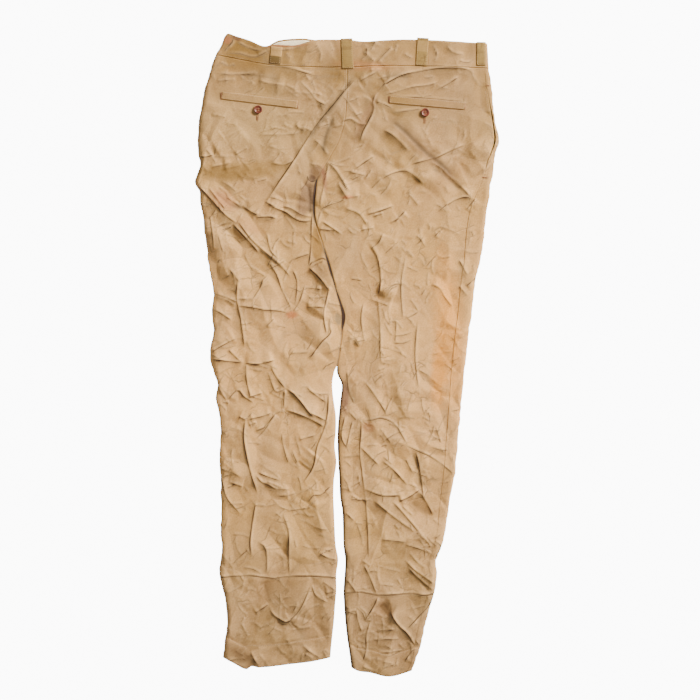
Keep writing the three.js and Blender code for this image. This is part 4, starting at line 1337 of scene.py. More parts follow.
# %% [markdown]
# ## Buttons
# A four-hole button is turned: a dished face with a raised rim. `bmesh.ops.spin` turns a profile
# round the axis. The holes are cut by a Boolean modifier with four small cylinders. The thread that
# holds the button comes later: two bars between the holes, of three strands each.

# %% Turn the buttons
BUTTON_THICK = 3.0
BUTTON_LIFT = 0.4
BUTTON_PROFILE = [
    (0, -0.5), (0.62, -0.5), (0.9, -0.36), (1.0, -0.05), (0.995, 0.18), (0.95, 0.38),
    (0.88, 0.48), (0.8, 0.47), (0.73, 0.36), (0.66, 0.22), (0.56, 0.14), (0.3, 0.1), (0, 0.09),
]
BUTTON_HOLE_RADIUS = 0.85
BUTTON_HOLE_PITCH = 3.2


def turned_button(name, centre):
    bm = bmesh.new()
    profile = [
        bm.verts.new((r * BUTTON_RADIUS, 0, h * BUTTON_THICK)) for r, h in BUTTON_PROFILE
    ]
    edges = [bm.edges.new(pair) for pair in zip(profile, profile[1:])]
    bmesh.ops.spin(
        bm, geom=profile + edges, cent=(0, 0, 0), axis=(0, 0, 1), angle=math.tau,
        steps=56, use_merge=True,
    )
    bmesh.ops.remove_doubles(bm, verts=bm.verts, dist=0.001)
    bmesh.ops.recalc_face_normals(bm, faces=bm.faces)
    bmesh.ops.transform(bm, matrix=to_place(centre), verts=bm.verts)
    return finish_mesh(name, bm)


def to_place(centre):
    return Matrix.Scale(MM, 4) @ Matrix.Translation(centre)


def holes_for(centre):
    bm = bmesh.new()
    for sx in (-0.5, 0.5):
        for sy in (-0.5, 0.5):
            hole = bmesh.ops.create_cone(
                bm, cap_ends=True, segments=20, radius1=BUTTON_HOLE_RADIUS,
                radius2=BUTTON_HOLE_RADIUS, depth=3 * BUTTON_THICK,
            )["verts"]
            bmesh.ops.translate(
                bm, verts=hole, vec=(sx * BUTTON_HOLE_PITCH, sy * BUTTON_HOLE_PITCH, 0)
            )
    bmesh.ops.transform(bm, matrix=to_place(centre), verts=bm.verts)
    return finish_mesh("holes", bm)


def apply_modifiers(obj):
    graph = bpy.context.evaluated_depsgraph_get()
    mesh = bpy.data.meshes.new_from_object(obj.evaluated_get(graph))
    obj.modifiers.clear()
    obj.data = mesh


buttons = {}
button_centres = {}
for name, (bx, by) in BUTTONS.items():
    ground = surface_at(np.array([bx * 1.0]), np.array([by * 1.0]), 0)[0][0, 2]
    centre = Vector((bx, by, ground + BUTTON_LIFT + BUTTON_THICK / 2))
    button = turned_button(f"{name}_disc", centre)
    holes = holes_for(centre)
    cut = button.modifiers.new("Holes", "BOOLEAN")
    cut.object = holes
    cut.operation = "DIFFERENCE"
    apply_modifiers(button)
    bpy.data.objects.remove(holes)
    buttons[name] = button
    button_centres[name] = centre
    print(name, "at", tuple(round(c, 1) for c in centre), "mm")

# %% [markdown]
# ## Stitches
# Sewing gives cloth its scale. Each stitch is a small bead of thread, a stretched icosphere, lying
# on the surface. A helper walks along a line and lays one bead per stitch, so a whole seam is one
# light mesh.

# %% Lay stitches along a line
STITCH = {"pitch": 3.1, "length": 2.3, "width": 0.55, "lift": 0.12}


def points_along(path, pitch):
    path = smooth_path(path)
    steps = np.diff(path, axis=0)
    lengths = np.hypot(steps[:, 0], steps[:, 1])
    at = np.concatenate([[0], np.cumsum(lengths)])
    count = max(2, round(at[-1] / pitch))
    wanted = (np.arange(count) + 0.5) / count * at[-1]
    x = np.interp(wanted, at, path[:, 0])
    y = np.interp(wanted, at, path[:, 1])
    i = np.clip(np.searchsorted(at, wanted) - 1, 0, len(steps) - 1)
    angle = np.arctan2(steps[i, 1], steps[i, 0])
    return x, y, angle


def lay_stitches(name, lines, lift, look=STITCH, turn=0.0):
    """Beads of thread along lines, each lifted off the surface by lift."""
    bm = bmesh.new()
    for path in lines:
        x, y, angle = points_along(path, look["pitch"])
        ground, _, _ = surface_at(x, y, lift + look["lift"])
        for (px, py, pz), a in zip(ground, angle):
            size = Matrix.Diagonal((look["length"] / 2, look["width"] / 2, look["width"] / 2, 1))
            move = Matrix.Translation((px, py, pz)) @ Matrix.Rotation(a + turn, 4, "Z") @ size
            bmesh.ops.create_icosphere(
                bm, subdivisions=1, radius=1, matrix=Matrix.Scale(MM, 4) @ move
            )
    obj = finish_mesh(name, bm)
    print(name, len(obj.data.polygons), "faces")
    return obj


# %% [markdown]
# Where do the stitches run? Along the waistband's lower edge, on both sides of the centre back seam
# at its top, along both hems, round every loop and welt, and beside the pocket's mouth.

# %% Lines of sewing
INSET = {"hem": 1.2, "band": 1.8, "loop": 2.0, "welt": 1.7, "pocket": 3.5}
HEM_THREAD_LIFT = 0.6
STRIP_THREAD_LIFT = 0.1


def offset_line(rows, column_x, column_y, start, end, shift, count=14):
    x = np.linspace(start, end, count)
    y = value_at(rows, column_x, column_y, x) + shift
    return list(zip(x, y))


def strip_lines(name, inset):
    strip = STRIPS[name]
    start = np.array(strip["start"], dtype=float)
    end = np.array(strip["end"], dtype=float)
    along = (end - start) / np.hypot(*(end - start))
    across = np.array([-along[1], along[0]])
    reach = strip["width"] / 2 - inset
    a = start + along * inset
    b = end - along * inset
    lines = [[a + across * s * reach, b + across * s * reach] for s in (-1, 1)]
    return lines + [[p - across * reach, p + across * reach] for p in (a, b)]


def hem_stitch_line(side, start, end):
    return offset_line(HEM_LINE[side], "x", "y", start, end, HEM_HEIGHT - INSET["hem"])


def strip_stitches(kind):
    lines = []
    for name in STRIPS:
        if name.startswith(kind):
            lines += strip_lines(name, INSET[kind])
    lift = STRIP_LOOK[kind]["lift"] + STRIP_THREAD_LIFT
    return lay_stitches(f"{kind}_stitching", lines, lift)


hem_stitches = lay_stitches("hem_stitching", [
    hem_stitch_line("left", -203, -34), hem_stitch_line("right", 12, 104),
], HEM_THREAD_LIFT)
band_stitches = lay_stitches("waistband_stitching", [
    offset_line(WAIST_SEAM_LINE, "x", "y", -222, -4, BAND_GAP + INSET["band"], 20),
    offset_line(WAIST_SEAM_LINE, "x", "y", 4, 236, BAND_GAP + INSET["band"], 20),
], BAND_PROUD)
seat_stitches = lay_stitches("seat_stitching", [
    [(3.5, 484), (3.2, 462), (2.4, 440), (1.2, 420)],
    [(-3.5, 484), (-3.6, 462), (-4.4, 440), (-5.5, 420)],
], 0.0)
loop_stitches = strip_stitches("loop")
welt_stitches = strip_stitches("welt")
seam_ys = np.linspace(POCKET_MOUTH_END + 4, POCKET_MOUTH_TOP - 6, 12)
mouth_seam = value_at(SECTIONS, "y", "right_seam", seam_ys) - INSET["pocket"]
pocket_stitches = lay_stitches("pocket_stitching", [list(zip(mouth_seam, seam_ys))], 0.0)

# %% [markdown]
# The buttonhole sits below each button: a slit edged with close stitches. A bar of the same close
# stitches holds each end of every pocket's mouth.

# %% Buttonholes, bar tacks and button thread
TACK = {"pitch": 0.75, "length": 2.6, "width": 0.7, "lift": 0.1}
TACK_LIFT = 0.6
STRAND = {"pitch": 0.45, "reach": 1.25, "width": 0.33, "height": 0.4, "level": 0.16}
buttonhole_lines = []
for bx, by in BUTTONS.values():
    for shift in (-1.2, 1.2):
        buttonhole_lines.append([(bx + shift - 1, by - 8.5), (bx + shift - 1.5, by - 18.5)])
buttonholes = lay_stitches("buttonhole_stitching", buttonhole_lines, 0.0, TACK, math.pi / 2)
tack_ends = [
    ((-214, 446), (-213.5, 434)), ((-84, 430), (-83.5, 419)),
    ((71, 439), (71.5, 428)), ((200, 429), (200.5, 417)),
    ((230, 302), (240, 301)), ((236, 458), (243, 458)),
]
tack_lines = [list(pair) for pair in tack_ends]
bar_tacks = lay_stitches("bar_tacks", tack_lines, TACK_LIFT, TACK, math.pi / 2)


def thread_bars(name, centre):
    bm = bmesh.new()
    half = BUTTON_HOLE_PITCH / 2
    top = BUTTON_THICK * STRAND["level"]
    size = Matrix.Diagonal((half * STRAND["reach"], STRAND["width"], STRAND["height"], 1))
    for strand in (-STRAND["pitch"], 0, STRAND["pitch"]):
        for side in (-1, 1):
            move = Matrix.Translation((0, side * half + strand, top))
            bmesh.ops.create_icosphere(bm, subdivisions=2, radius=1, matrix=move @ size)
    bmesh.ops.transform(bm, matrix=to_place(centre), verts=bm.verts)
    return finish_mesh(name, bm)


threads = [thread_bars(f"{name}_thread", c) for name, c in button_centres.items()]

# %% [markdown]
# ## Cloth finish
# Khaki twill is a warm sand colour that is never even. Several things change it here: slow patches
# from washing, listed stains and tints, and a browner tone towards the hems and the waist. Painted
# light
# goes over that: the crease masks made above paint shade at the foot of folds and a highlight on lit
# crests, and some listed spots paint shade in hollows and the crotch. They are one node group,
# because every cloth material needs them.

# %% Node helpers
def new_group(name, inputs, outputs):
    group = bpy.data.node_groups.new(name, "ShaderNodeTree")
    for label, kind, value in inputs:
        socket = group.interface.new_socket(name=label, in_out="INPUT", socket_type=kind)
        if value is not None:
            socket.default_value = value
    for label, kind in outputs:
        group.interface.new_socket(name=label, in_out="OUTPUT", socket_type=kind)
    enter = group.nodes.new("NodeGroupInput")
    leave = group.nodes.new("NodeGroupOutput")
    return group, enter.outputs, leave.inputs


def add_node(tree, kind, settings=None, **inputs):
    node = tree.nodes.new(kind)
    for key, value in (settings or {}).items():
        setattr(node, key, value)
    for key, value in inputs.items():
        label = key.replace("_", " ")
        socket = next(s for s in node.inputs if s.name == label and s.enabled)
        if isinstance(value, bpy.types.NodeSocket):
            tree.links.new(value, socket)
        else:
            socket.default_value = value
    return node


def math_node(tree, operation, a, b=0.0, clamp=False):
    node = tree.nodes.new("ShaderNodeMath")
    node.operation = operation
    node.use_clamp = clamp
    for socket, value in zip(node.inputs, (a, b)):
        if isinstance(value, bpy.types.NodeSocket):
            tree.links.new(value, socket)
        else:
            socket.default_value = value
    return node.outputs[0]


def mix_colour(tree, factor, a, b, blend="MIX"):
    node = tree.nodes.new("ShaderNodeMix")
    node.data_type = "RGBA"
    node.blend_type = blend
    sockets = [s for s in node.inputs if s.enabled]
    for socket, value in zip(sockets, (factor, a, b)):
        if isinstance(value, bpy.types.NodeSocket):
            tree.links.new(value, socket)
        elif socket.type == "RGBA":
            socket.default_value = (*value, 1)
        else:
            socket.default_value = value
    return next(s for s in node.outputs if s.enabled)


def linear(*srgb):
    """A colour as the eye reads it, 0 to 255, as the shader's linear values."""
    return tuple(((c / 255 + 0.055) / 1.055) ** 2.4 if c > 10 else c / 255 / 12.92 for c in srgb)


# %% [markdown]
# Twill's diagonal ribs are about 0.5 mm apart. They are too fine for the main view but bring the
# cloth to life close up. A Wave texture on the cloth's own UV map, which is in metres, makes them,
# with a little noise so that the yarns wander. Slubs, the thicker stretches of a yarn, are a
# second noise drawn out along the leg.

# %% Twill group
twill, enter, leave = new_group(
    "Twill weave",
    [("Rib", "NodeSocketFloat", 900.0), ("Slub", "NodeSocketFloat", 0.35)],
    [("Height", "NodeSocketFloat")],
)
uv = add_node(twill, "ShaderNodeUVMap", {"uv_map": "Cloth"}).outputs[0]
wave = add_node(
    twill, "ShaderNodeTexWave", {"wave_type": "BANDS", "bands_direction": "DIAGONAL"},
    Vector=uv, Scale=enter["Rib"], Distortion=1.2, Detail=2.0,
)
slub_place = add_node(twill, "ShaderNodeMapping", Vector=uv, Scale=(1.0, 0.35, 1.0)).outputs[0]
slub = add_node(twill, "ShaderNodeTexNoise", Vector=slub_place, Scale=520.0, Detail=3.0)
slub_value = math_node(twill, "MULTIPLY", slub.outputs[0], enter["Slub"])
twill.links.new(math_node(twill, "ADD", wave.outputs["Fac"], slub_value), leave["Height"])
print("twill group:", len(twill.nodes), "nodes")

# %% [markdown]
# The finest wrinkles are too small for the grid. A Voronoi texture's cell borders, bent by noise
# and stretched, give short crisp lines, and a second noise keeps them to some patches only. The
# group gives their height for the bump and the same lines as a mask that paints shade into the
# colour.

# %% Fine wrinkle group
wrinkles, enter, leave = new_group(
    "Fine wrinkles",
    [("Scale", "NodeSocketFloat", 52.0), ("Turn", "NodeSocketFloat", -0.6)],
    [("Height", "NodeSocketFloat"), ("Line", "NodeSocketFloat")],
)
place = add_node(wrinkles, "ShaderNodeTexCoord").outputs["Object"]
bend = add_node(wrinkles, "ShaderNodeTexNoise", Vector=place, Scale=30.0, Detail=2.0)
bent = wrinkles.nodes.new("ShaderNodeVectorMath")
bent.operation = "MULTIPLY_ADD"
wrinkles.links.new(bend.outputs["Color"], bent.inputs[0])
bent.inputs[1].default_value = (0.03, 0.03, 0.0)
wrinkles.links.new(place, bent.inputs[2])
turned = wrinkles.nodes.new("ShaderNodeVectorRotate")
turned.rotation_type = "Z_AXIS"
wrinkles.links.new(bent.outputs[0], turned.inputs["Vector"])
wrinkles.links.new(enter["Turn"], turned.inputs["Angle"])
long = add_node(
    wrinkles, "ShaderNodeMapping", Vector=turned.outputs[0], Scale=(0.5, 1.0, 1.0)
).outputs[0]
cell = add_node(
    wrinkles, "ShaderNodeTexVoronoi", {"feature": "DISTANCE_TO_EDGE"}, Vector=long,
    Scale=enter["Scale"],
)
line = add_node(
    wrinkles, "ShaderNodeMapRange", {"interpolation_type": "SMOOTHSTEP"},
    Value=cell.outputs["Distance"], From_Min=0.055, From_Max=0.0,
).outputs[0]
patch = add_node(wrinkles, "ShaderNodeTexNoise", Vector=place, Scale=26.0, Detail=2.0)
patch_mask = add_node(
    wrinkles, "ShaderNodeMapRange", {"interpolation_type": "SMOOTHSTEP"},
    Value=patch.outputs[0], From_Min=0.52, From_Max=0.68,
).outputs[0]
pit = math_node(wrinkles, "MINIMUM", cell.outputs["Distance"], 0.3)
wrinkles.links.new(math_node(wrinkles, "MULTIPLY", pit, patch_mask), leave["Height"])
wrinkles.links.new(math_node(wrinkles, "MULTIPLY", line, patch_mask), leave["Line"])
print("fine wrinkle group:", len(wrinkles.nodes), "nodes")

# %% [markdown]
# Stains, tints and patches of painted shade are masks worked out from Object coordinates, because
# every piece shares one origin: a soft ellipse with a noisy edge. `soft_spot` makes one, and the
# cloth group stacks several of them in their places from the photo.

# %% Cloth tone group
# Painted shade: the hip, seat fold, seat middle and inner leg shades, the lining edge red and band
# corner brown at the waistband's folds, the crotch grey, box, hook and red, the inner strip and
# flap, the knee triangle and the shin and ankle hollows. The left cuff inside is partly the cloth's
# inner side and partly painted shade. The other spots are stains and tints.
SPOTS = [
    # name, centre x and y, half sizes, turn in degrees, colour, strength, sharpness
    ("seat left pale", (-160, 392), (85, 58), 0, (186, 152, 99), 0.7, 1.0),
    ("seat olive", (-180, 312), (78, 15), 4, (142, 110, 56), 0.65, 1.4),
    ("seat olive edge", (-205, 309), (40, 9), -6, (124, 94, 46), 0.5, 1.3),
    ("seat red", (-210, 263), (24, 14), -35, (176, 112, 72), 0.5, 1.2),
    ("seat right olive", (117, 297), (16, 9), -25, (134, 104, 54), 0.5, 1.3),
    ("hip shade", (170, 300), (46, 17), 38, (124, 86, 48), 0.35, 1.1),
    ("seat fold shade", (128, 350), (74, 11), -43, (122, 88, 54), 0.5, 1.1),
    ("seat middle shade", (30, 402), (42, 8), 64, (124, 82, 54), 0.4, 1.1),
    ("lining edge red", (-104, 525), (36, 2.6), 2, (138, 84, 56), 0.6, 1.4),
    ("band corner red", (-203.5, 536), (7, 6), 0, (176, 108, 72), 0.6, 1.6),
    ("band corner brown", (-188, 540), (8, 4.5), -28, (104, 72, 50), 0.75, 1.8),
    ("band red", (30, 492), (48, 9), -4, (170, 108, 66), 0.4, 1.1),
    ("thigh brown", (-168, 219), (26, 10), -30, (150, 104, 60), 0.5, 1.3),
    ("thigh orange", (173, 45), (25, 120), 4, (222, 152, 70), 0.75, 1.0),
    ("knee orange", (156, -30), (13, 60), -3, (210, 140, 56), 0.75, 1.2),
    ("right olive", (70, 100), (22, 8), -20, (140, 106, 56), 0.45, 1.2),
    ("leg olive", (82, -40), (12, 50), 0, (156, 122, 68), 0.4, 1.1),
    ("crotch grey", (-69, 268), (12, 30), -14, (124, 96, 68), 0.85, 2.0),
    ("crotch box", (-52, 310), (11, 11), 0, (110, 82, 60), 0.65, 1.8),
    ("crotch hook", (-59, 300), (7, 5), -25, (76, 54, 38), 0.85, 1.8),
    ("crotch red", (-38, 300), (4, 21), 6, (146, 96, 72), 0.6, 1.5),
    ("inner strip", (-51, 186), (9, 30), 7, (152, 114, 58), 0.85, 1.8),
    ("inner flap", (-44, 143), (11, 15), 40, (136, 104, 66), 0.6, 1.6),
    ("crotch smear", (0, 268), (10, 3), 5, (172, 100, 66), 0.6, 1.4),
    ("knee smudge", (-15, 62), (4.5, 10), 8, (104, 100, 84), 0.6, 1.6),
    ("knee red", (-94, 68), (9, 6), 0, (180, 96, 54), 0.6, 1.5),
    ("knee facet", (36, -123), (11, 9), 0, (148, 92, 58), 0.5, 1.3),
    ("knee olive", (93, -97), (9, 22), 0, (136, 104, 56), 0.45, 1.2),
    ("knee triangle", (126, -259), (24, 11), -32, (128, 92, 52), 0.45, 1.4),
    ("inner leg shade", (-4, -73), (8, 27), 0, (112, 80, 62), 0.8, 1.3),
    ("shin hollow", (-138, -402), (12, 26), -12, (128, 94, 54), 0.45, 1.2),
    ("ankle hollow", (64, -432), (18, 13), -30, (120, 86, 48), 0.55, 1.2),
    ("left cuff inside", (-182, -508), (24, 10), -30, (100, 74, 46), 0.6, 1.4),
]
FADE = [
    # how high on the garment, and the cloth's colour there
    (-538, (148, 116, 71)),
    (-420, (156, 123, 77)),
    (-300, (188, 146, 85)),
    (-150, (204, 156, 93)),
    (0, (211, 161, 95)),
    (280, (178, 137, 77)),
    (400, (142, 111, 63)),
    (490, (134, 102, 49)),
]
SPOT_REACH = 1.35
EDGE_WOBBLE = 0.9


def soft_spot(tree, place, wobble, centre, half, turn, sharpness):
    """A mask that falls from 1 in an ellipse to 0 at SPOT_REACH times its half sizes."""
    turned = add_node(
        tree, "ShaderNodeMapping", {"vector_type": "TEXTURE"}, Vector=place,
        Location=(centre[0] * MM, centre[1] * MM, 0), Rotation=(0, 0, math.radians(turn)),
        Scale=(half[0] * MM, half[1] * MM, 1000.0),
    ).outputs[0]
    length = tree.nodes.new("ShaderNodeVectorMath")
    length.operation = "LENGTH"
    tree.links.new(turned, length.inputs[0])
    distance = math_node(tree, "ADD", length.outputs["Value"], wobble)
    falling = math_node(tree, "SUBTRACT", SPOT_REACH, distance)
    return math_node(tree, "MULTIPLY", falling, sharpness, clamp=True)


def tint(colour, texture, span, amount, shade):
    """The colour with a tint where the texture's value is in the upper part of a span."""
    mask = add_node(
        tone, "ShaderNodeMapRange", Value=texture.outputs[0], From_Min=span[0], From_Max=span[1]
    ).outputs[0]
    return mix_colour(tone, math_node(tone, "MULTIPLY", mask, amount), colour, shade)


# Crease colour paints shade, with some dirt, along the crease mask; Crest colour paints highlight
# along the crest mask. Olive is a real tint and also the soft painted shade beside creases.
tone, enter, leave = new_group(
    "Cloth tone",
    [
        ("Base", "NodeSocketColor", (*linear(196, 150, 92), 1)),
        ("Crease colour", "NodeSocketColor", (*linear(52, 39, 28), 1)),
        ("Crease amount", "NodeSocketFloat", 1.0),
        ("Crest colour", "NodeSocketColor", (*linear(222, 182, 128), 1)),
        ("Crest amount", "NodeSocketFloat", 0.6),
        ("Spots", "NodeSocketFloat", 1.0),
        ("Fade", "NodeSocketFloat", 1.0),
        ("Rose", "NodeSocketColor", (*linear(206, 160, 120), 1)),
        ("Olive", "NodeSocketColor", (*linear(135, 112, 78), 1)),
        ("Wrinkle", "NodeSocketFloat", 0.0),
    ],
    [("Color", "NodeSocketColor")],
)
place = add_node(tone, "ShaderNodeTexCoord").outputs["Object"]
patches = add_node(tone, "ShaderNodeTexNoise", Vector=place, Scale=9.0, Detail=2.5, Roughness=0.5)
mottle = add_node(tone, "ShaderNodeTexNoise", Vector=place, Scale=75.0, Detail=4.0, Roughness=0.65)
grain = add_node(tone, "ShaderNodeTexNoise", Vector=place, Scale=420.0, Detail=2.0)
height = add_node(tone, "ShaderNodeSeparateXYZ", Vector=place).outputs["Y"]
level = add_node(
    tone, "ShaderNodeMapRange", Value=height, From_Min=HEM_LEVEL["right"] * MM,
    From_Max=WAIST_SEAM * MM,
).outputs[0]
fade = add_node(tone, "ShaderNodeValToRGB", Fac=level)
stops = fade.color_ramp.elements
while len(stops) < len(FADE):
    stops.new(0.5)
for stop, (y, shade) in zip(stops, FADE):
    stop.position = (y - HEM_LEVEL["right"]) / (WAIST_SEAM - HEM_LEVEL["right"])
    stop.color = (*linear(*shade), 1)
colour = mix_colour(tone, enter["Fade"], enter["Base"], fade.outputs[0])
colour = tint(colour, patches, (0.35, 0.7), 0.3, enter["Rose"])
streak_place = add_node(
    tone, "ShaderNodeMapping", Vector=place, Scale=(1.0, 0.16, 1.0)
).outputs[0]
streaks = add_node(tone, "ShaderNodeTexNoise", Vector=streak_place, Scale=34.0, Detail=1.5)
colour = tint(colour, streaks, (0.5, 0.72), 0.34, enter["Olive"])
colour = tint(colour, mottle, (0.4, 0.75), 0.07, enter["Olive"])
# The crest mask is mostly painted highlight; the crease mask is painted shade with some dirt, and
# the fine wrinkle lines add painted shade to it.
crest = add_node(tone, "ShaderNodeAttribute", {"attribute_name": "crest"}).outputs["Fac"]
crease = add_node(tone, "ShaderNodeAttribute", {"attribute_name": "crease"}).outputs["Fac"]
colour = mix_colour(
    tone, math_node(tone, "MULTIPLY", crest, enter["Crest amount"]), colour, enter["Crest colour"]
)
crease_mask = math_node(tone, "MULTIPLY", crease, enter["Crease amount"])
wrinkle_mask = math_node(tone, "MULTIPLY", enter["Wrinkle"], 0.5)
crease_mask = math_node(tone, "MAXIMUM", crease_mask, wrinkle_mask)
# A soft olive painted shade around the crease lines and wrinkles.
soft_mask = add_node(
    tone, "ShaderNodeMapRange", Value=crease_mask, From_Min=0.0, From_Max=0.6, To_Max=0.8
).outputs[0]
hard_mask = add_node(
    tone, "ShaderNodeMapRange", Value=crease_mask, From_Min=0.35, From_Max=1.0
).outputs[0]
colour = mix_colour(tone, soft_mask, colour, enter["Olive"])
centred = math_node(tone, "SUBTRACT", mottle.outputs[0], 0.5)
wobble = math_node(tone, "MULTIPLY", centred, EDGE_WOBBLE)
for _, centre, half, turn, spot_colour, strength, sharpness in SPOTS:
    mask = soft_spot(tone, place, wobble, centre, half, turn, sharpness)
    mask = math_node(tone, "MULTIPLY", mask, strength)
    mask = math_node(tone, "MULTIPLY", mask, enter["Spots"])
    colour = mix_colour(tone, mask, colour, linear(*spot_colour))
# Over the spots, lines of painted shade and dirt in the crease colour.
colour = mix_colour(tone, hard_mask, colour, enter["Crease colour"])
# In the slit between the legs and the deepest lines, the painted shadow goes almost black.
darkest = math_node(tone, "SUBTRACT", crease, 1.0, clamp=True)
darkest = math_node(tone, "MULTIPLY", darkest, 2.0, clamp=True)
colour = mix_colour(tone, darkest, colour, linear(44, 20, 6))
grain_value = math_node(tone, "ADD", math_node(tone, "MULTIPLY", grain.outputs[0], 0.5), 0.75)
grained = add_node(tone, "ShaderNodeHueSaturation", Color=colour, Value=grain_value).outputs[0]
tone.links.new(grained, leave["Color"])
print("cloth tone group:", len(tone.nodes), "nodes")

# %% [markdown]
# Each cloth material keeps its own Principled shader, with roughness and sheen as plain numbers.
# Only the colour and the heights of weave and wrinkles come from the groups.

# %% Cloth materials
def group_node(tree, group, **inputs):
    node = tree.nodes.new("ShaderNodeGroup")
    node.node_tree = group
    for key, value in inputs.items():
        socket = node.inputs[key.replace("_", " ")]
        socket.default_value = (*value, 1) if isinstance(value, tuple) else value
    return node


def cloth_material(name, roughness=0.7, sheen=0.04, weave=0.35, wrinkle=0.6, **tones):
    material = bpy.data.materials.new(name)
    material.use_nodes = True
    tree = material.node_tree
    shader = tree.nodes["Principled BSDF"]
    shader.inputs["Roughness"].default_value = roughness
    shader.inputs["Specular IOR Level"].default_value = 0.16
    shader.inputs["Sheen Weight"].default_value = sheen
    shader.inputs["Sheen Roughness"].default_value = 0.6
    colour = group_node(tree, tone, **tones)
    cloth = group_node(tree, twill)
    bump = tree.nodes.new("ShaderNodeBump")
    bump.inputs["Strength"].default_value = weave
    bump.inputs["Distance"].default_value = 0.25 * MM
    fine = group_node(tree, wrinkles)
    fine_bump = tree.nodes.new("ShaderNodeBump")
    fine_bump.inputs["Strength"].default_value = wrinkle
    fine_bump.inputs["Distance"].default_value = 2.5 * MM
    tree.links.new(fine.outputs["Height"], fine_bump.inputs["Height"])
    tree.links.new(fine_bump.outputs[0], bump.inputs["Normal"])
    tree.links.new(fine.outputs["Line"], colour.inputs["Wrinkle"])
    tree.links.new(colour.outputs["Color"], shader.inputs["Base Color"])
    tree.links.new(cloth.outputs["Height"], bump.inputs["Height"])
    tree.links.new(bump.outputs[0], shader.inputs["Normal"])
    return material


chino = cloth_material("Khaki twill")
loop_cloth = cloth_material(
    "Olive twill", wrinkle=0.2, Base=linear(134, 109, 58), Rose=linear(150, 120, 70),
    Olive=linear(104, 82, 42), Crease_colour=linear(66, 50, 26),
    Crest_colour=linear(186, 148, 92), Crest_amount=1.0, Spots=0.0, Fade=0.0,
)
lining_cloth = cloth_material(
    "Cream lining", wrinkle=0.3, Base=linear(250, 240, 205), Rose=linear(250, 235, 205),
    Olive=linear(225, 205, 160), Crease_colour=linear(190, 160, 120),
    Crest_colour=linear(255, 250, 225), Spots=0.0, Fade=0.0,
)
for material in (chino, loop_cloth, lining_cloth):
    print(material.name, "is ready")

# %% [markdown]
# Thread catches the light more than cloth. The buttons are moulded plastic with a soft marbling.

# %% Thread and button materials
def thread_material(name, colour):
    material = bpy.data.materials.new(name)
    material.use_nodes = True
    tree = material.node_tree
    shader = tree.nodes["Principled BSDF"]
    shader.inputs["Roughness"].default_value = 0.7
    place = add_node(tree, "ShaderNodeTexCoord").outputs["Object"]
    fibre = add_node(tree, "ShaderNodeTexNoise", Vector=place, Scale=1800.0, Detail=2.0)
    darker = tuple(c * 0.72 for c in colour)
    tree.links.new(mix_colour(tree, fibre.outputs[0], darker, colour), shader.inputs["Base Color"])
    return material


def button_material():
    material = bpy.data.materials.new("Brown button")
    material.use_nodes = True
    tree = material.node_tree
    shader = tree.nodes["Principled BSDF"]
    shader.inputs["Roughness"].default_value = 0.5
    shader.inputs["Coat Weight"].default_value = 0.08
    shader.inputs["Coat Roughness"].default_value = 0.2
    place = add_node(tree, "ShaderNodeTexCoord").outputs["Object"]
    swirl = add_node(
        tree, "ShaderNodeTexNoise", Vector=place, Scale=210.0, Detail=4.0, Distortion=1.6
    )
    colour = mix_colour(tree, swirl.outputs[0], linear(66, 28, 17), linear(128, 60, 36))
    tree.links.new(colour, shader.inputs["Base Color"])
    return material


khaki_thread = thread_material("Khaki thread", linear(196, 162, 118))
brown_thread = thread_material("Brown thread", linear(150, 102, 66))
button_plastic = button_material()
print("materials:", len(bpy.data.materials))

# %% [markdown]
# ## Put it together
# Every piece rides on the one rigid body. Each piece of cloth and each button also stands for its
# CAD node.

# %% Materials and bodies
CLOTH_PIECES = {
    # piece: CAD node, material, slot
    back_left: ("back_left", chino, "chino_cloth"),
    back_right: ("back_right", chino, "chino_cloth"),
    front_left: ("front_left", chino, "chino_cloth"),
    front_right: ("front_right", chino, "chino_cloth"),
    band_left: ("waistband_left", chino, "chino_cloth"),
    band_right: ("waistband_right", chino, "chino_cloth"),
    lining: ("waistband_lining", lining_cloth, "waistband_lining"),
    facing: ("pocket_facing_right", chino, "chino_cloth"),
    fly: ("fly_underlap", chino, "chino_cloth"),
}
for name, piece in strips.items():
    finish = (loop_cloth, "loop_cloth") if name.startswith("loop") else (chino, "chino_cloth")
    CLOTH_PIECES[piece] = (name, *finish)


def dress(piece, material, slot_name, *nodes):
    piece.data.materials.clear()
    piece.data.materials.append(material)
    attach(piece, "root")
    if nodes:
        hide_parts(*nodes)


for piece, (node, material, slot_name) in CLOTH_PIECES.items():
    dress(piece, material, slot_name, node)
for name, button in buttons.items():
    dress(button, button_plastic, "button_plastic", name)
for piece in (hem_stitches, band_stitches, seat_stitches, welt_stitches, pocket_stitches):
    dress(piece, khaki_thread, "chino_cloth")
for piece in (buttonholes, bar_tacks, *threads):
    dress(piece, brown_thread, "chino_cloth")
dress(loop_stitches, khaki_thread, "loop_cloth")
print("pieces with their own CAD node:", len(CLOTH_PIECES) + len(buttons))

# %% [markdown]

# %% [markdown]
# ## Floor, light and camera
# The photo is a cut-out on white. A plain pale floor stands in for that. To the camera it glows, so
# it looks white, and to everything else it is matt, so it throws little light back on the cloth.

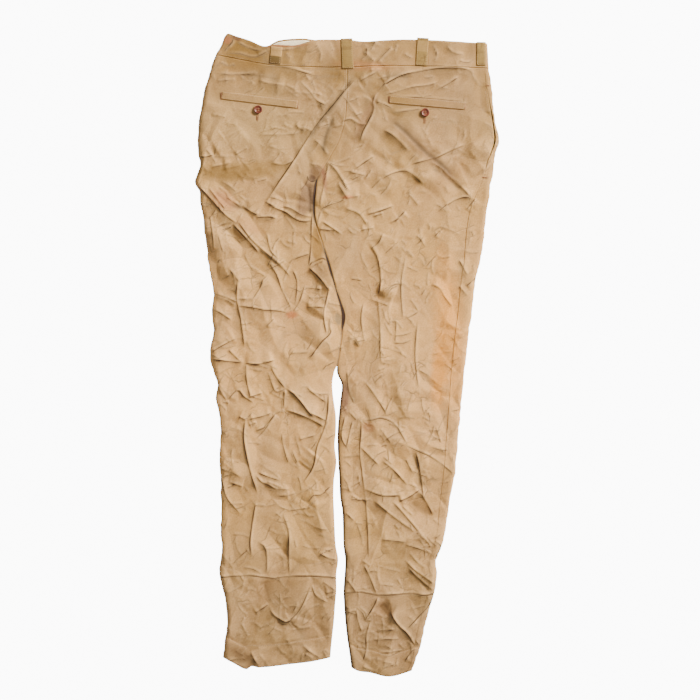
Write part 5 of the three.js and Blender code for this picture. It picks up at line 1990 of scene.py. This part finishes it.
# %% Floor
FLOOR_HALF = 6
FLOOR_DROP = 0.0004
FLOOR_GLOW = 12.0
bm = bmesh.new()
bmesh.ops.create_grid(bm, x_segments=1, y_segments=1, size=FLOOR_HALF)
floor = finish_mesh("floor", bm)
floor.location.z = -FLOOR_DROP
floor_paint = bpy.data.materials.new("Pale floor")
floor_paint.use_nodes = True
paint_tree = floor_paint.node_tree
floor_shader = paint_tree.nodes["Principled BSDF"]
floor_shader.inputs["Base Color"].default_value = (0.8, 0.8, 0.8, 1)
floor_shader.inputs["Roughness"].default_value = 0.9
glow = add_node(paint_tree, "ShaderNodeEmission", Strength=FLOOR_GLOW)
seen = add_node(paint_tree, "ShaderNodeLightPath").outputs["Is Camera Ray"]
whiten = math_node(paint_tree, "MULTIPLY", seen, 0.9)
blend = add_node(paint_tree, "ShaderNodeMixShader", Fac=whiten)
paint_tree.links.new(floor_shader.outputs[0], blend.inputs[1])
paint_tree.links.new(glow.outputs[0], blend.inputs[2])
paint_tree.links.new(blend.outputs[0], paint_tree.nodes["Material Output"].inputs[0])
floor.data.materials.append(floor_paint)
print("floor:", 2 * FLOOR_HALF, "m wide")

# %% [markdown]
# The light comes softly from the upper right. A large area light from there gives each fold a
# bright and a dark side, and an even pale sky and a weak second light fill the shadows.

# %% Lights
def area_light(name, place, size, power, colour):
    data = bpy.data.lights.new(name, "AREA")
    data.shape = "SQUARE"
    data.size = size
    data.energy = power
    data.color = colour
    light = bpy.data.objects.new(name, data)
    light.location = place
    light.rotation_mode = "QUATERNION"
    light.rotation_quaternion = (-Vector(place)).to_track_quat("-Z", "Y")
    collection.objects.link(light)
    print(name, "light:", power, "W")


area_light("key", (2.8, 2.35, 1.75), 0.9, 600, (1, 0.91, 0.79))
area_light("fill", (-1.8, -1.6, 3.0), 2.5, 16, (1, 0.92, 0.82))
world = bpy.data.worlds.new("Soft sky")
world.use_nodes = True
sky = world.node_tree.nodes["Background"]
sky.inputs["Color"].default_value = (1, 0.92, 0.82, 1)
sky.inputs["Strength"].default_value = 0.36
bpy.context.scene.world = world

# %% [markdown]
# The camera looks straight down, so it needs no turning. Its height follows from how wide a strip
# of the floor the square picture shows.

# %% Camera straight above
VIEW_CENTRE = (5.1, 8.5)
VIEW_WIDTH = 1190
FOCUS_LEVEL = 6
LENS = 85
SENSOR = 36
camera_data = bpy.data.cameras.new("camera")
camera_data.lens = LENS
camera_data.sensor_width = SENSOR
camera = bpy.data.objects.new("camera", camera_data)
camera_height = FOCUS_LEVEL + VIEW_WIDTH * LENS / SENSOR
camera.location = Vector((*VIEW_CENTRE, camera_height)) * MM
collection.objects.link(camera)
bpy.context.scene.camera = camera
print("camera height:", round(camera.location.z, 3), "m")
